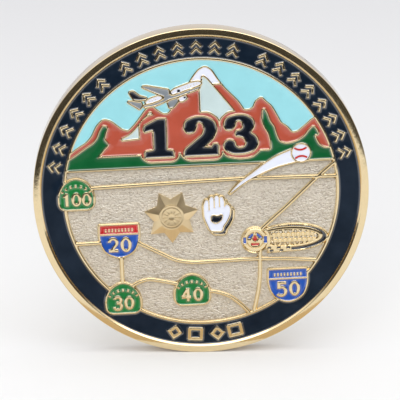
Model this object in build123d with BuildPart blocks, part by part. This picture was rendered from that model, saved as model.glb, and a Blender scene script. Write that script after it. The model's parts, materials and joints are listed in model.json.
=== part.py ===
from build123d import *
import os
from math import cos, pi, radians, sin, tan

# A two inch challenge coin: one struck metal body and the cured enamel fills that sit in its cells.
# The coin stands on its edge. Z is up, the obverse faces -Y, the origin is under the middle of the edge.

# ---- driving dimensions, millimetres ----
coin_radius = 25.4
coin_thickness = 3.5
edge_round = 0.15        # rounding of the outer corners of the edge
rim_width = 1.25         # from the edge to the enamel ring
crest_slope = 0.30       # width of the slope on the inner side of the rim
rim_rise = 0.20          # rim above the raised lines
ring_width = 3.22        # navy ring
ring_line = 0.38         # metal line between the navy ring and the picture
cell_depth = 0.45        # enamel cells, below the raised lines
enamel_thickness = 0.33  # cured enamel in a cell
field_depth = 0.35       # sandblasted field, below the raised lines
line = 0.26              # metal line round an enamel cell
groove_line = 0.16       # finer metal line inside a small badge
road_width = 0.46
horizon_width = 0.30
chevron_line = 0.36      # stroke of the chevrons in the ring
chevron_height = 2.1     # pair of chevrons, across the ring
chevron_width = 1.9      # pair of chevrons, along the ring
block_width = 2.35       # block ornaments at the foot of the ring
block_stroke = 0.5
pool_depth = 0.14        # shallow floor inside the oval badge
star_step = 0.18         # height of the star's upright side
star_crown = 0.32        # height of the star's facets above that side
reverse_depth = 0.45     # field of the reverse, below the rim
reverse_relief = 0.30    # wreath and compass of the reverse, above that field

# ---- derived levels and radii ----
half = coin_thickness / 2
relief_level = half - rim_rise
cell_floor = relief_level - cell_depth
field_level = relief_level - field_depth
ring_outer = coin_radius - rim_width
ring_inner = ring_outer - ring_width
picture_radius = ring_inner - ring_line
reverse_level = half - reverse_depth
art = picture_radius / 20.55  # the picture is cut for this radius and scaled to the coin
half_sheet = 30.0             # half a sheet that covers the whole picture

obverse = Plane(origin=(0, 0, coin_radius), x_dir=(1, 0, 0), z_dir=(0, -1, 0))
reverse = Plane(origin=(0, 0, coin_radius), x_dir=(-1, 0, 0), z_dir=(0, 1, 0))
section = Plane(origin=(0, 0, coin_radius), x_dir=(1, 0, 0), z_dir=(0, 0, 1))
coin_axis = Axis((0, 0, coin_radius), (0, 1, 0))

os.makedirs("parts", exist_ok=True)


# ---- drawing helpers: every point is (right, up) from the middle of the picture ----
def at(right, up):
    """A point of the picture, scaled to the coin."""
    return (right * art, up * art)


def corner_radii(points, share, closed):
    """For each corner the radius whose arc uses the given share of its shorter run."""
    count = len(points)
    radii = []
    for index in range(count):
        if not closed and index in (0, count - 1):
            continue
        here = Vector(*points[index])
        before = Vector(*points[index - 1])
        after = Vector(*points[(index + 1) % count])
        run_in = here - before
        run_out = after - here
        turn = radians(run_in.get_angle(run_out))
        radii.append(share * min(run_in.length, run_out.length) / tan(turn / 2))
    return radii


def outline(points, share=0.42, sharp=()):
    """Adds a closed shape with soft corners, but for those named sharp."""
    placed = [at(*point) for point in points]
    radii = corner_radii(placed, share, True)
    for index in sharp:
        radii[index] = 0
    with BuildSketch() as shape:
        with BuildLine():
            FilletPolyline(*placed, radius=radii, close=True)
        make_face()
    add(shape.sketch)


def route(points, width, share=0.42):
    """Adds a raised line of constant width along a softly cornered route."""
    placed = [at(*point) for point in points]
    with BuildSketch() as shape:
        with BuildLine():
            if len(placed) == 2:
                Line(*placed)
            else:
                FilletPolyline(*placed, radius=corner_radii(placed, share, False))
        trace(line_width=width)
    add(shape.sketch)


def spot(right, up, radius):
    """A round spot."""
    with Locations(at(right, up)):
        Circle(radius * art)


def bar(right, up, width, height, turn=0.0, mode=Mode.ADD):
    """A rectangular bar about its middle."""
    with Locations(at(right, up)):
        Rectangle(width * art, height * art, rotation=turn, mode=mode)


def stroke_line(width, path):
    """Adds one stroke of constant width along a line or an arc."""
    with BuildSketch() as shape:
        trace(path, line_width=width)
    add(shape.sketch)


# strokes of the block figures, in shares of the figure's size: two points a line, three an arc
figure_strokes = {
    1: (((-0.22, 0.24), (0.1, 0.56)), ((0.06, 0.6), (0.06, -0.6))),
    2: (((-0.3, 0.2), (0.05, 0.5), (0.22, 0.0)), ((0.26, 0.06), (-0.24, -0.56)),
        ((-0.36, -0.48), (0.38, -0.48))),
    3: (((-0.28, 0.36), (0.27, 0.26), (-0.1, 0.03)), ((-0.1, 0.03), (0.3, -0.26), (-0.32, -0.34))),
    4: (((0.14, -0.6), (0.14, 0.6)), ((0.1, 0.54), (-0.36, -0.2)), ((-0.4, -0.22), (0.4, -0.22))),
    5: (((0.36, 0.48), (-0.34, 0.48)), ((-0.22, 0.5), (-0.24, 0.0)),
        ((-0.26, 0.08), (0.3, -0.2), (-0.34, -0.4))),
}
nought_half_width = 0.31
nought_half_height = 0.5


def digit(figure, right, up, size, stroke):
    """Adds a plain block figure about its middle, drawn as strokes of one width."""
    width = stroke * art
    if figure == 0:
        wide = nought_half_width * size * art + width / 2
        tall = nought_half_height * size * art + width / 2
        with BuildSketch() as ring:
            with Locations(at(right, up)):
                Ellipse(wide, tall)
                Ellipse(wide - width, tall - width, mode=Mode.SUBTRACT)
        add(ring.sketch)
        return
    for stroke_points in figure_strokes[figure]:
        placed = [at(right + u * size, up + v * size) for u, v in stroke_points]
        if len(placed) == 2:
            stroke_line(width, Line(*placed, mode=Mode.PRIVATE))
        else:
            stroke_line(width, ThreePointArc(*placed, mode=Mode.PRIVATE))


def number(figures, right, up, pitch, size, stroke):
    """A row of block figures about its middle."""
    start = right - pitch * (len(figures) - 1) / 2
    for place, figure in enumerate(figures):
        digit(figure, start + pitch * place, up, size, stroke)


def cut_round(shapes, gap):
    """Clears the open sketch round the shapes in front of it, a metal line wider than they are."""
    for shape in shapes:
        for face in shape.faces():
            offset(face, amount=gap, kind=Kind.ARC, mode=Mode.SUBTRACT)


# ---- outlines of the picture, from front to back ----

# route markers: arch topped plates, each with a round number and a row of small bars over it
marker_stroke = 0.46
marker_bar_reach = 2.95  # radius of the row of small bars
marker_bar_turn = 15.0   # degrees between them


def arch_plate(right, foot):
    outline([(right + x, foot + z) for x, z in (
        (-2.5, 0.0), (2.5, 0.0), (2.6, 2.3), (1.75, 3.95), (0.0, 4.85), (-1.75, 3.95), (-2.6, 2.3))],
        share=0.44)


def marker_metal(right, foot, figures, pitch, size):
    number(figures, right, foot + 1.55, pitch, size, marker_stroke)
    for step in range(-3, 4):
        lean = radians(step * marker_bar_turn)
        bar(right + marker_bar_reach * sin(lean), foot + 0.65 + marker_bar_reach * cos(lean),
            0.34, 0.42, -step * marker_bar_turn)


marker_places = {
    "west": (-18.9, -1.7, (1, 0, 0), 1.55, 1.7),
    "south": (-12.55, -18.5, (3, 0), 1.75, 1.75),
    "centre": (-2.0, -17.65, (4, 0), 1.8, 1.75),
}
marker_plates = {}
marker_fills = {}
for name, (right, foot, figures, pitch, size) in marker_places.items():
    with BuildSketch() as plate:
        arch_plate(right, foot)
    with BuildSketch() as metal:
        marker_metal(right, foot, figures, pitch, size)
    with BuildSketch() as fill:
        add(plate.sketch)
        add(metal.sketch, mode=Mode.SUBTRACT)
    marker_plates[name] = plate.sketch
    marker_fills[name] = fill.sketch


# shields: flat topped, a band with small bars above a field with a round number
def shield_plate(right, top):
    outline([(right + x, top + z) for x, z in (
        (-2.85, 0.0), (2.85, 0.0), (2.95, -2.1), (2.2, -4.2), (0.0, -5.25), (-2.2, -4.2), (-2.95, -2.1))],
        share=0.46, sharp=(0, 1))


band_height = 1.3
band_bar_pitch = 0.5
shield_stroke = 0.48
shield_places = {"west": (-12.72, -4.55, (2, 0)), "east": (12.7, -12.85, (5, 0))}
shield_plates = {}
shield_bands = {}
shield_fields = {}
for name, (right, top, figures) in shield_places.items():
    with BuildSketch() as plate:
        shield_plate(right, top)
    with BuildSketch() as band:
        add(plate.sketch)
        bar(right, top - band_height - half_sheet / 2, half_sheet, half_sheet, mode=Mode.SUBTRACT)
        for step in range(-4, 5):
            bar(right + band_bar_pitch * step, top - 0.78, 0.27, 0.5, mode=Mode.SUBTRACT)
    with BuildSketch() as field:
        add(plate.sketch)
        bar(right, top - band_height - line / art + half_sheet / 2, half_sheet, half_sheet,
            mode=Mode.SUBTRACT)
    with BuildSketch() as metal:
        number(figures, right, top - 3.05, 1.95, 1.95, shield_stroke)
    with BuildSketch() as inner:
        add(field.sketch)
        add(metal.sketch, mode=Mode.SUBTRACT)
    shield_plates[name] = plate.sketch
    shield_bands[name] = band.sketch
    shield_fields[name] = inner.sketch

# round emblem: a metal disc with blue side cells, two blue arcs, a red diamond and a red bar
emblem_centre = (7.9, -7.9)
with BuildSketch() as emblem_disc:
    spot(*emblem_centre, 2.1)
with BuildSketch() as emblem_blue_cells:
    with BuildSketch(mode=Mode.PRIVATE) as band_ring:
        spot(*emblem_centre, 1.12)
        with Locations(at(*emblem_centre)):
            Circle(0.74 * art, mode=Mode.SUBTRACT)
    add(band_ring.sketch)
    bar(7.9, -8.65, 3.0, 2.1, mode=Mode.SUBTRACT)
    bar(7.9, -7.1, 0.55, 1.4, mode=Mode.SUBTRACT)
    bar(6.32, -7.9, 0.42, 0.95)
    bar(9.48, -7.9, 0.46, 1.05)
with BuildSketch() as emblem_red_cells:
    outline([(7.9, -7.08), (8.28, -7.7), (7.9, -8.1), (7.52, -7.7)], sharp=(0, 1, 2, 3))
    outline([(7.2, -8.4), (8.6, -8.4), (8.35, -8.75), (7.45, -8.75)], share=0.3)

# oval badge: a metal oval with a black ring that is heavier at the right and below, rows of bars inside
oval_centre = (13.4, -7.75)
with BuildSketch() as oval_black_cell:
    with Locations(at(*oval_centre)):
        Ellipse(5.35 * art, 1.95 * art)
    with Locations(at(13.1, -7.62)):
        Ellipse(5.1 * art, 1.66 * art, mode=Mode.SUBTRACT)
    bar(10.3, -9.4, 6.2, 1.7, mode=Mode.SUBTRACT)
    offset(emblem_disc.sketch, amount=line, mode=Mode.SUBTRACT)
with BuildSketch() as oval_metal:
    with Locations(at(*oval_centre)):
        Ellipse(5.35 * art + line, 1.95 * art + line)
    outline([(9.3, -8.7), (14.0, -8.9), (14.2, -9.9), (9.9, -10.05)], sharp=(0, 1, 2, 3))
with BuildSketch() as oval_pool:
    with Locations(at(12.9, -7.7)):
        Ellipse(4.75 * art, 1.3 * art)
    offset(emblem_disc.sketch, amount=line, mode=Mode.SUBTRACT)
    for step in range(9):
        bar(10.75 + 0.74 * step, -7.28, 0.5, 0.56, mode=Mode.SUBTRACT)
        bar(10.95 + 0.74 * step, -8.18, 0.54, 0.52, mode=Mode.SUBTRACT)
with BuildSketch() as check_cells:
    for right, up in ((10.0, -9.25), (11.45, -9.25), (12.9, -9.3), (10.35, -9.7), (11.85, -9.7)):
        outline([(right - 0.3, up - 0.15), (right + 0.2, up - 0.15), (right + 0.3, up + 0.15),
                 (right - 0.2, up + 0.15)], share=0.3)

# baseball glove in white: finger grooves, a dark pocket, and a black shadow below and to the right
with BuildSketch() as mitt:
    outline([(1.2, -6.1), (0.85, -5.2), (0.35, -4.0), (0.3, -2.0), (0.7, -1.15), (1.08, -1.5), (1.45, -0.65),
             (1.88, -1.1), (2.3, -0.5), (2.68, -1.0), (3.1, -0.8), (3.4, -1.5), (3.35, -2.5), (3.75, -2.0),
             (4.25, -2.4), (4.2, -3.7), (3.6, -4.8), (3.1, -5.4), (2.95, -6.2)], sharp=(5, 7, 9, 12))
with BuildSketch() as mitt_pocket:
    outline([(1.5, -3.6), (1.3, -4.5), (2.1, -5.0), (2.9, -4.4), (3.1, -3.5), (2.4, -3.9)])
with BuildSketch() as mitt_fill:
    add(mitt.sketch)
    for right, up in ((1.1, -2.1), (1.9, -1.75), (2.7, -1.65)):
        bar(right, up, 0.2, 1.5, mode=Mode.SUBTRACT)
    cut_round([mitt_pocket.sketch], groove_line)
with BuildSketch() as mitt_shade:
    with Locations((0.42 * art, -0.5 * art)):
        add(mitt.sketch)
    offset(mitt.sketch, amount=line, mode=Mode.SUBTRACT)
    bar(0.3, -3.0, 1.6, 7.0, mode=Mode.SUBTRACT)

# baseball and its white trail
ball_centre = (15.3, 5.5)
with BuildSketch() as ball:
    spot(*ball_centre, 1.32)
with BuildSketch() as stitches:
    with BuildLine():
        ThreePointArc(at(14.3, 6.28), at(15.25, 5.95), at(16.15, 6.3))
    trace(line_width=0.26 * art)
    with BuildLine():
        ThreePointArc(at(14.4, 4.62), at(15.3, 4.98), at(16.2, 4.72))
    trace(line_width=0.26 * art)
with BuildSketch() as ball_fill:
    add(ball.sketch)
    add(stitches.sketch, mode=Mode.SUBTRACT)
with BuildSketch() as trail:
    outline([(4.35, -0.35), (5.8, 1.25), (7.6, 2.45), (9.6, 3.95), (11.6, 5.15), (15.2, 6.5), (15.2, 4.4),
             (11.6, 3.6), (9.4, 2.75), (7.2, 1.7), (5.6, 0.6)], sharp=(0, 5, 6))
    offset(ball.sketch, amount=line, mode=Mode.SUBTRACT)

# airliner: white hull in two lengths, grey wings, belly and tailplane, dark fin and engine mouths
with BuildSketch() as hull:
    outline([(-8.0, 14.22), (-7.25, 14.9), (-5.75, 15.35), (-5.2, 15.0), (-5.75, 14.72), (-6.9, 14.35)])
    outline([(-3.9, 15.85), (-3.3, 16.3), (-0.8, 17.15), (0.35, 17.25), (0.7, 16.95), (-0.3, 16.55),
             (-3.7, 15.5)])
with BuildSketch() as wings:
    outline([(-8.2, 16.85), (-7.6, 16.92), (-4.25, 16.2), (-4.25, 15.5), (-3.65, 15.18), (-0.3, 16.27),
             (0.35, 16.5), (0.3, 16.26), (-0.3, 16.02), (-3.0, 15.1), (-4.2, 14.83), (-5.1, 14.38),
             (-6.4, 13.88), (-7.95, 13.72), (-7.95, 13.94), (-6.85, 14.07), (-5.65, 14.44),
             (-4.94, 14.82), (-4.94, 15.3), (-5.9, 15.72)], share=0.3, sharp=(3, 18))
    outline([(-4.45, 14.4), (-3.0, 14.82), (-2.95, 14.35), (-3.7, 13.5), (-4.2, 13.45)], share=0.3)
    outline([(-10.5, 14.7), (-9.6, 14.6), (-8.45, 14.4), (-8.35, 13.95), (-8.7, 13.45), (-9.3, 13.9)],
            share=0.3)
with BuildSketch() as engine:
    outline([(-2.7, 14.95), (-1.75, 15.15), (-1.6, 14.8), (-2.1, 14.42), (-2.72, 14.42)])
with BuildSketch() as fin:
    outline([(-10.15, 16.1), (-9.6, 16.22), (-8.7, 15.45), (-7.7, 15.12), (-7.6, 14.95), (-8.5, 14.85),
             (-9.5, 14.92)], share=0.35)
with BuildSketch() as mouths:
    spot(-2.75, 15.93, 0.24)
    spot(-1.88, 14.93, 0.16)
with BuildSketch() as windows:
    for step in range(6):
        spot(-2.15 + 0.42 * step, 16.27 + 0.14 * step, 0.07)
    for step in range(3):
        spot(-7.15 + 0.45 * step, 14.62 + 0.13 * step, 0.07)
with BuildSketch() as hull_fill:
    add(hull.sketch)
    add(engine.sketch)
    add(mouths.sketch, mode=Mode.SUBTRACT)
    add(windows.sketch, mode=Mode.SUBTRACT)
airliner_fronts = [hull.sketch, wings.sketch, engine.sketch, fin.sketch]

# the large number 123, its terracotta surround
with BuildSketch() as figure_one:
    outline([(-8.15, 5.85), (-3.95, 5.85), (-3.95, 6.75), (-4.95, 6.95), (-4.95, 11.75), (-6.1, 11.75),
             (-8.15, 10.75), (-8.15, 9.85), (-6.75, 10.2), (-6.75, 6.95), (-8.15, 6.75)],
            share=0.25, sharp=(0, 1, 4))
with BuildSketch() as figure_two:
    outline([(-2.15, 10.1), (-1.95, 11.2), (-0.6, 11.8), (1.0, 11.8), (2.4, 11.0), (2.7, 9.8), (2.2, 8.55),
             (0.7, 7.1), (1.85, 7.0), (2.15, 7.5), (2.85, 7.5), (2.8, 5.85), (-2.25, 5.85),
             (-2.2, 6.75), (-0.6, 8.05), (0.6, 9.0), (0.95, 9.9), (0.75, 10.8), (0.15, 11.15),
             (-0.35, 10.9), (-0.4, 10.2), (-0.8, 9.5), (-1.7, 9.4)], sharp=(7, 8, 11, 12))
with BuildSketch() as figure_three:
    outline([(3.9, 10.2), (4.1, 11.3), (5.4, 11.82), (7.1, 11.78), (8.25, 11.0), (8.3, 9.9), (7.6, 9.1),
             (8.6, 8.4), (8.9, 7.4), (8.3, 6.3), (6.9, 5.85), (5.1, 5.85), (3.9, 6.5), (3.75, 7.5),
             (4.45, 8.05), (5.3, 7.8), (5.45, 7.0), (6.1, 6.6), (6.9, 6.85), (7.2, 7.5), (6.9, 8.25),
             (6.2, 8.6), (5.6, 8.65), (5.6, 9.35), (6.25, 9.4), (6.75, 9.85), (6.7, 10.75), (6.1, 11.1),
             (5.5, 10.85), (5.45, 10.2), (4.9, 9.6), (4.2, 9.65)])
large_figures = [figure_one.sketch, figure_two.sketch, figure_three.sketch]
with BuildSketch() as surround:
    outline([(-8.8, 5.2), (-3.3, 5.2), (-3.0, 8.8), (-4.2, 12.4), (-7.2, 12.4), (-8.8, 11.3)], share=0.3)
    outline([(-2.9, 5.2), (3.35, 5.2), (3.4, 9.0), (2.9, 11.4), (1.6, 12.4), (-1.2, 12.4), (-2.8, 11.3)],
            share=0.3)
    outline([(3.3, 7.0), (4.1, 5.6), (6.0, 5.15), (7.9, 5.3), (9.4, 6.6), (9.55, 8.4), (8.9, 9.4),
             (8.95, 11.2), (7.9, 12.3), (4.6, 12.35), (3.3, 11.2)], share=0.35)

# green meadow and hills along the horizon
horizon_top = 4.42
with BuildSketch() as meadow:
    outline([(-22.0, horizon_top), (22.0, horizon_top), (22.0, 6.1), (18.9, 6.05), (18.0, 6.6), (17.55, 7.6),
             (17.35, 8.25), (17.95, 8.3), (17.75, 8.9), (17.3, 9.55), (16.7, 9.0), (15.9, 7.95),
             (14.6, 7.2), (13.1, 6.95), (12.05, 7.35), (11.6, 8.5), (11.3, 9.8), (10.75, 10.5),
             (10.35, 11.8), (9.85, 12.75), (9.65, 11.0), (10.0, 9.8), (10.6, 8.8), (10.9, 7.4),
             (10.9, 6.1), (-15.35, 6.2), (-14.6, 7.3), (-13.7, 8.2), (-14.3, 8.95), (-14.1, 9.9),
             (-13.75, 10.85), (-14.25, 11.05), (-14.8, 10.3), (-15.2, 9.2), (-15.9, 8.35), (-17.0, 7.7),
             (-18.6, 6.6), (-19.9, 5.8), (-22.0, 5.2)], share=0.38, sharp=(0, 1, 2, 25, 38))

# the mountain range against the sky, its snow cap, glacier and western snow
with BuildSketch() as mountain_range:
    outline([(-22.0, horizon_top), (-20.2, 6.2), (-18.6, 7.5), (-16.9, 8.5), (-16.0, 9.45), (-15.2, 11.1),
             (-14.2, 12.05), (-13.2, 11.75), (-11.5, 10.3), (-10.5, 10.0), (-9.3, 11.2), (-7.7, 13.3),
             (-6.95, 13.75), (-6.2, 13.1), (-5.2, 12.4), (-4.4, 12.45), (-3.4, 13.7), (-1.9, 15.5),
             (-0.75, 17.6), (0.35, 19.0), (1.3, 19.5), (2.15, 18.95), (3.2, 17.2), (4.0, 16.1),
             (6.0, 13.95), (6.9, 12.45), (7.8, 12.5), (8.4, 12.85), (8.8, 13.85), (9.6, 14.35),
             (10.05, 13.8), (11.0, 12.95), (11.9, 11.2), (12.3, 10.3), (13.25, 9.65), (14.0, 8.65),
             (14.9, 8.75), (16.3, 9.85), (17.3, 10.75), (19.2, 11.2), (22.0, 9.0), (22.0, horizon_top)],
            share=0.4, sharp=(0, 40, 41))
with BuildSketch() as snow_cap:
    outline([(-2.2, 17.15), (-0.5, 20.3), (2.6, 20.3), (4.4, 16.95), (2.4, 16.85), (0.7, 17.1)], share=0.35)
with BuildSketch() as glacier:
    outline([(0.45, 12.0), (0.45, 16.2), (0.82, 16.8), (0.88, 18.1), (1.5, 17.6), (2.25, 16.6),
             (5.35, 12.55), (5.2, 12.0), (3.75, 12.0), (3.45, 9.9), (3.1, 9.3), (2.8, 10.0), (2.9, 12.0)],
            share=0.35)
with BuildSketch() as west_snow:
    outline([(-7.1, 12.95), (-8.3, 11.6), (-9.5, 10.2), (-10.4, 9.4), (-11.9, 8.75), (-10.0, 8.9),
             (-7.4, 9.05), (-6.8, 12.0)], share=0.3)

# roads on the field
with BuildSketch() as roads:
    route([(-17.5, 1.45), (0.0, 1.8), (6.5, 1.88), (21.3, 1.62)], road_width)
    route([(-21.0, -7.3), (-14.0, -7.2)], road_width)
    route([(-11.5, -6.6), (-4.2, -10.6), (-1.8, -11.05), (8.0, -10.9), (12.5, -11.1), (19.0, -11.75)],
          road_width)
    route([(-12.55, -9.0), (-12.55, -14.5)], road_width)
    route([(-11.6, -14.6), (-10.0, -13.7), (-8.6, -13.35), (-7.4, -13.55), (-3.6, -14.5)], road_width)
    route([(-0.3, -15.55), (2.0, -15.95), (3.8, -16.7), (5.3, -18.0), (7.4, -20.4)], road_width)
    route([(8.6, -9.4), (8.5, -13.4), (8.2, -15.8), (7.2, -20.2)], road_width)
    route([(21.5, 4.75), (18.0, 1.9), (13.0, -2.7), (11.0, -4.4), (8.7, -6.4)], road_width)

# star badge with plain facets on the field, and an eight pointed compass rose on the reverse
star_centre = (-4.65, -3.6)
star_tip = 4.15
star_valley = 2.75
star_boss = 1.95
star_top_share = 0.35    # size of the small star at the top of its facets
rose_tip = 11.0
rose_valley = 3.6
rose_top_share = 0.3


def pointed_face(middle, points, tip, valley, start):
    """A star about a middle, made into a face."""
    corners = []
    for step in range(2 * points):
        reach = tip if step % 2 == 0 else valley
        turn = start + pi * step / points
        corners.append((middle[0] + reach * cos(turn), middle[1] + reach * sin(turn)))
    with BuildSketch() as shape:
        with BuildLine():
            Polyline(*corners, close=True)
        make_face()
    return shape.sketch


def star_face(scale):
    """The star badge with two points up, at a share of its size."""
    return pointed_face(at(*star_centre), 7, star_tip * art * scale, star_valley * art * scale, -pi / 2)


def rose_face(scale):
    """The compass rose, at a share of its size."""
    return pointed_face((0, 0), 8, rose_tip * art * scale, rose_valley * art * scale, pi / 2)


wreath_radius = 16.2
wreath_leaves = 26
ring_bars = 72
reverse_bar_width = 0.6
with BuildSketch() as leaf_pair:
    for side in (1, -1):
        outline([(0.1 * side, -0.9), (1.0 * side, -0.7), (1.9 * side, 0.9), (0.9 * side, 0.6)], share=0.4)
    bar(0.0, 0.0, 0.3, 3.6)

# ---- what each enamel cell keeps of its outline ----
with BuildSketch() as picture:
    Circle(picture_radius)

trail_fronts = [ball.sketch, trail.sketch]
badge_fronts = list(marker_plates.values()) + list(shield_plates.values())

with BuildSketch() as meadow_cell:
    add(meadow.sketch)
    add(picture.sketch, mode=Mode.INTERSECT)
    cut_round([surround.sketch] + trail_fronts, line)
with BuildSketch() as west_snow_cell:
    add(west_snow.sketch)
    cut_round([surround.sketch], line)
with BuildSketch() as glacier_cell:
    add(glacier.sketch)
    cut_round([surround.sketch] + airliner_fronts, line)
with BuildSketch() as snow_cap_cell:
    add(snow_cap.sketch)
    add(mountain_range.sketch, mode=Mode.INTERSECT)
    cut_round([glacier.sketch] + airliner_fronts, line)
with BuildSketch() as rock_cell:
    add(mountain_range.sketch)
    add(picture.sketch, mode=Mode.INTERSECT)
    cut_round([meadow.sketch, west_snow.sketch, glacier.sketch, snow_cap.sketch], line)
    add(surround.sketch)
    cut_round(large_figures + airliner_fronts, line)
with BuildSketch() as sky_cell:
    add(picture.sketch)
    bar(0.0, horizon_top - half_sheet / 2, 2 * half_sheet, half_sheet, mode=Mode.SUBTRACT)
    cut_round([mountain_range.sketch] + airliner_fronts, line)
with BuildSketch() as field_cell:
    add(picture.sketch)
    bar(0.0, horizon_top - horizon_width / art + half_sheet / 2, 2 * half_sheet, half_sheet,
        mode=Mode.SUBTRACT)
    add(roads.sketch, mode=Mode.SUBTRACT)
    add(oval_metal.sketch, mode=Mode.SUBTRACT)
    add(emblem_disc.sketch, mode=Mode.SUBTRACT)
    cut_round(badge_fronts + trail_fronts + [mitt.sketch, mitt_shade.sketch], line)

# ornaments of the navy ring: three runs of double chevrons and four blocks at the foot
ornament_radius = (ring_outer + ring_inner) / 2
chevron_rise = 0.36 * chevron_height
with BuildSketch() as chevron_pair:
    side = chevron_width / 2 - chevron_line / 2
    for foot in (-0.43 * chevron_height, 0.03 * chevron_height):
        with BuildSketch() as chevron:
            with BuildLine():
                Polyline((foot, -side), (foot + chevron_rise, 0), (foot, side))
            trace(line_width=chevron_line)
        add(chevron.sketch)
diamond_side = 0.8 * chevron_height
with BuildSketch() as diamond_ring:
    Rectangle(diamond_side, diamond_side, rotation=45)
    Rectangle(diamond_side - 2 * block_stroke, diamond_side - 2 * block_stroke, rotation=45,
              mode=Mode.SUBTRACT)
chevron_runs = ((167.0, 6, -7.6), (118.0, 7, -7.08), (63.5, 8, -7.14))
block_angles = (-102.6, -94.5, -85.9, -78.9)
with BuildSketch() as ring_ornaments:
    for start, count, step in chevron_runs:
        with PolarLocations(ornament_radius, count, start_angle=start, angular_range=step * (count - 1),
                            endpoint=True):
            add(chevron_pair.sketch)
    for place, angle in enumerate(block_angles):
        with PolarLocations(ornament_radius, 1, start_angle=angle):
            if place % 2:
                RectangleRounded(chevron_height, block_width, 0.25)
                RectangleRounded(chevron_height - 2 * block_stroke, block_width - 2 * block_stroke, 0.12,
                                 mode=Mode.SUBTRACT)
            else:
                add(diamond_ring.sketch)
with BuildSketch() as ring_cell:
    Circle(ring_outer)
    Circle(ring_inner, mode=Mode.SUBTRACT)
    add(ring_ornaments.sketch, mode=Mode.SUBTRACT)
    cut_round(badge_fronts, line)

cells = {
    "enamel_navy_ring": ring_cell.sketch,
    "enamel_sky": sky_cell.sketch,
    "enamel_mountains": rock_cell.sketch,
    "enamel_snow_cap": snow_cap_cell.sketch,
    "enamel_glacier": glacier_cell.sketch,
    "enamel_west_snow": west_snow_cell.sketch,
    "enamel_meadow": meadow_cell.sketch,
    "enamel_figure_one": figure_one.sketch,
    "enamel_figure_two": figure_two.sketch,
    "enamel_figure_three": figure_three.sketch,
    "enamel_airliner_hull": hull_fill.sketch,
    "enamel_airliner_wings": wings.sketch,
    "enamel_airliner_fin": fin.sketch,
    "enamel_engine_mouths": mouths.sketch,
    "enamel_ball": ball_fill.sketch,
    "enamel_ball_stitches": stitches.sketch,
    "enamel_ball_trail": trail.sketch,
    "enamel_mitt": mitt_fill.sketch,
    "enamel_mitt_pocket": mitt_pocket.sketch,
    "enamel_mitt_shadow": mitt_shade.sketch,
    "enamel_marker_west": marker_fills["west"],
    "enamel_marker_south": marker_fills["south"],
    "enamel_marker_centre": marker_fills["centre"],
    "enamel_shield_west_band": shield_bands["west"],
    "enamel_shield_west_field": shield_fields["west"],
    "enamel_shield_east_band": shield_bands["east"],
    "enamel_shield_east_field": shield_fields["east"],
    "enamel_emblem_blue": emblem_blue_cells.sketch,
    "enamel_emblem_red": emblem_red_cells.sketch,
    "enamel_oval_ring": oval_black_cell.sketch,
    "enamel_checks": check_cells.sketch,
}

# grooves in the round emblem
with BuildSketch() as emblem_grooves:
    for outer, inner in ((1.95, 1.78), (1.3, 1.2)):
        with Locations(at(*emblem_centre)):
            Circle(outer * art)
            Circle(inner * art, mode=Mode.SUBTRACT)
    bar(6.32, -7.9, 0.42 + 2 * groove_line, 0.95 + 2 * groove_line, mode=Mode.SUBTRACT)
    bar(9.48, -7.9, 0.46 + 2 * groove_line, 1.05 + 2 * groove_line, mode=Mode.SUBTRACT)

# ---- the struck body ----
with BuildPart() as coin_body:
    # one section from the axis to the edge, turned about the axis; the obverse is its lower side
    with BuildSketch(section):
        with BuildLine():
            Polyline((0, -relief_level), (ring_outer, -relief_level), (ring_outer + crest_slope, -half),
                     (coin_radius, -half), (coin_radius, half), (ring_outer, half),
                     (ring_outer - 0.5 * crest_slope, reverse_level), (0, reverse_level), close=True)
        make_face()
    revolve(axis=coin_axis)
    fillet(coin_body.edges().filter_by(GeomType.CIRCLE).group_by(lambda edge: edge.radius)[-1],
           radius=edge_round)

    # cells for the enamel, the sandblasted field and the shallow floors of the badges
    with BuildSketch(obverse.offset(relief_level)):
        for cell in cells.values():
            add(cell)
    extrude(amount=-cell_depth, mode=Mode.SUBTRACT)
    with BuildSketch(obverse.offset(relief_level)):
        add(field_cell.sketch)
    extrude(amount=-field_depth, mode=Mode.SUBTRACT)
    with BuildSketch(obverse.offset(relief_level)):
        add(oval_pool.sketch)
        add(emblem_grooves.sketch)
    extrude(amount=-pool_depth, mode=Mode.SUBTRACT)

    # the star: an upright side, then facets that rise to a small star at the top
    with BuildSketch(obverse.offset(field_level)):
        add(star_face(1.0))
    extrude(amount=star_step)
    with BuildSketch(obverse.offset(field_level + star_step)):
        add(star_face(1.0))
    with BuildSketch(obverse.offset(field_level + star_step + star_crown)):
        add(star_face(star_top_share))
    loft()
    with BuildSketch(obverse.offset(field_level)):
        with Locations(at(*star_centre)):
            Circle(star_boss * art)
    extrude(amount=star_step + star_crown)
    with BuildSketch(obverse.offset(field_level + star_step + star_crown)):
        with Locations(at(*star_centre)):
            Circle(0.85 * star_boss * art)
            Circle(0.78 * star_boss * art, mode=Mode.SUBTRACT)
            with PolarLocations(0.5 * star_boss * art, 12):
                Rectangle(0.42 * star_boss * art, 0.09 * star_boss * art)
            Circle(0.2 * star_boss * art)
    extrude(amount=-pool_depth / 2, mode=Mode.SUBTRACT)

    # the reverse: a ring line, a laurel wreath and a compass rose
    with BuildSketch(reverse.offset(reverse_level)):
        Circle(ring_inner)
        Circle(picture_radius, mode=Mode.SUBTRACT)
        with PolarLocations(ornament_radius, ring_bars):
            Rectangle(chevron_height, reverse_bar_width)
        with PolarLocations(wreath_radius * art, wreath_leaves):
            add(leaf_pair.sketch)
    extrude(amount=reverse_relief)
    with BuildSketch(reverse.offset(reverse_level)):
        add(rose_face(1.0))
    with BuildSketch(reverse.offset(reverse_level + reverse_relief)):
        add(rose_face(rose_top_share))
    loft()
coin_body.part.label = "coin_body"
export_step(coin_body.part, "parts/coin_body.step")

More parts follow.
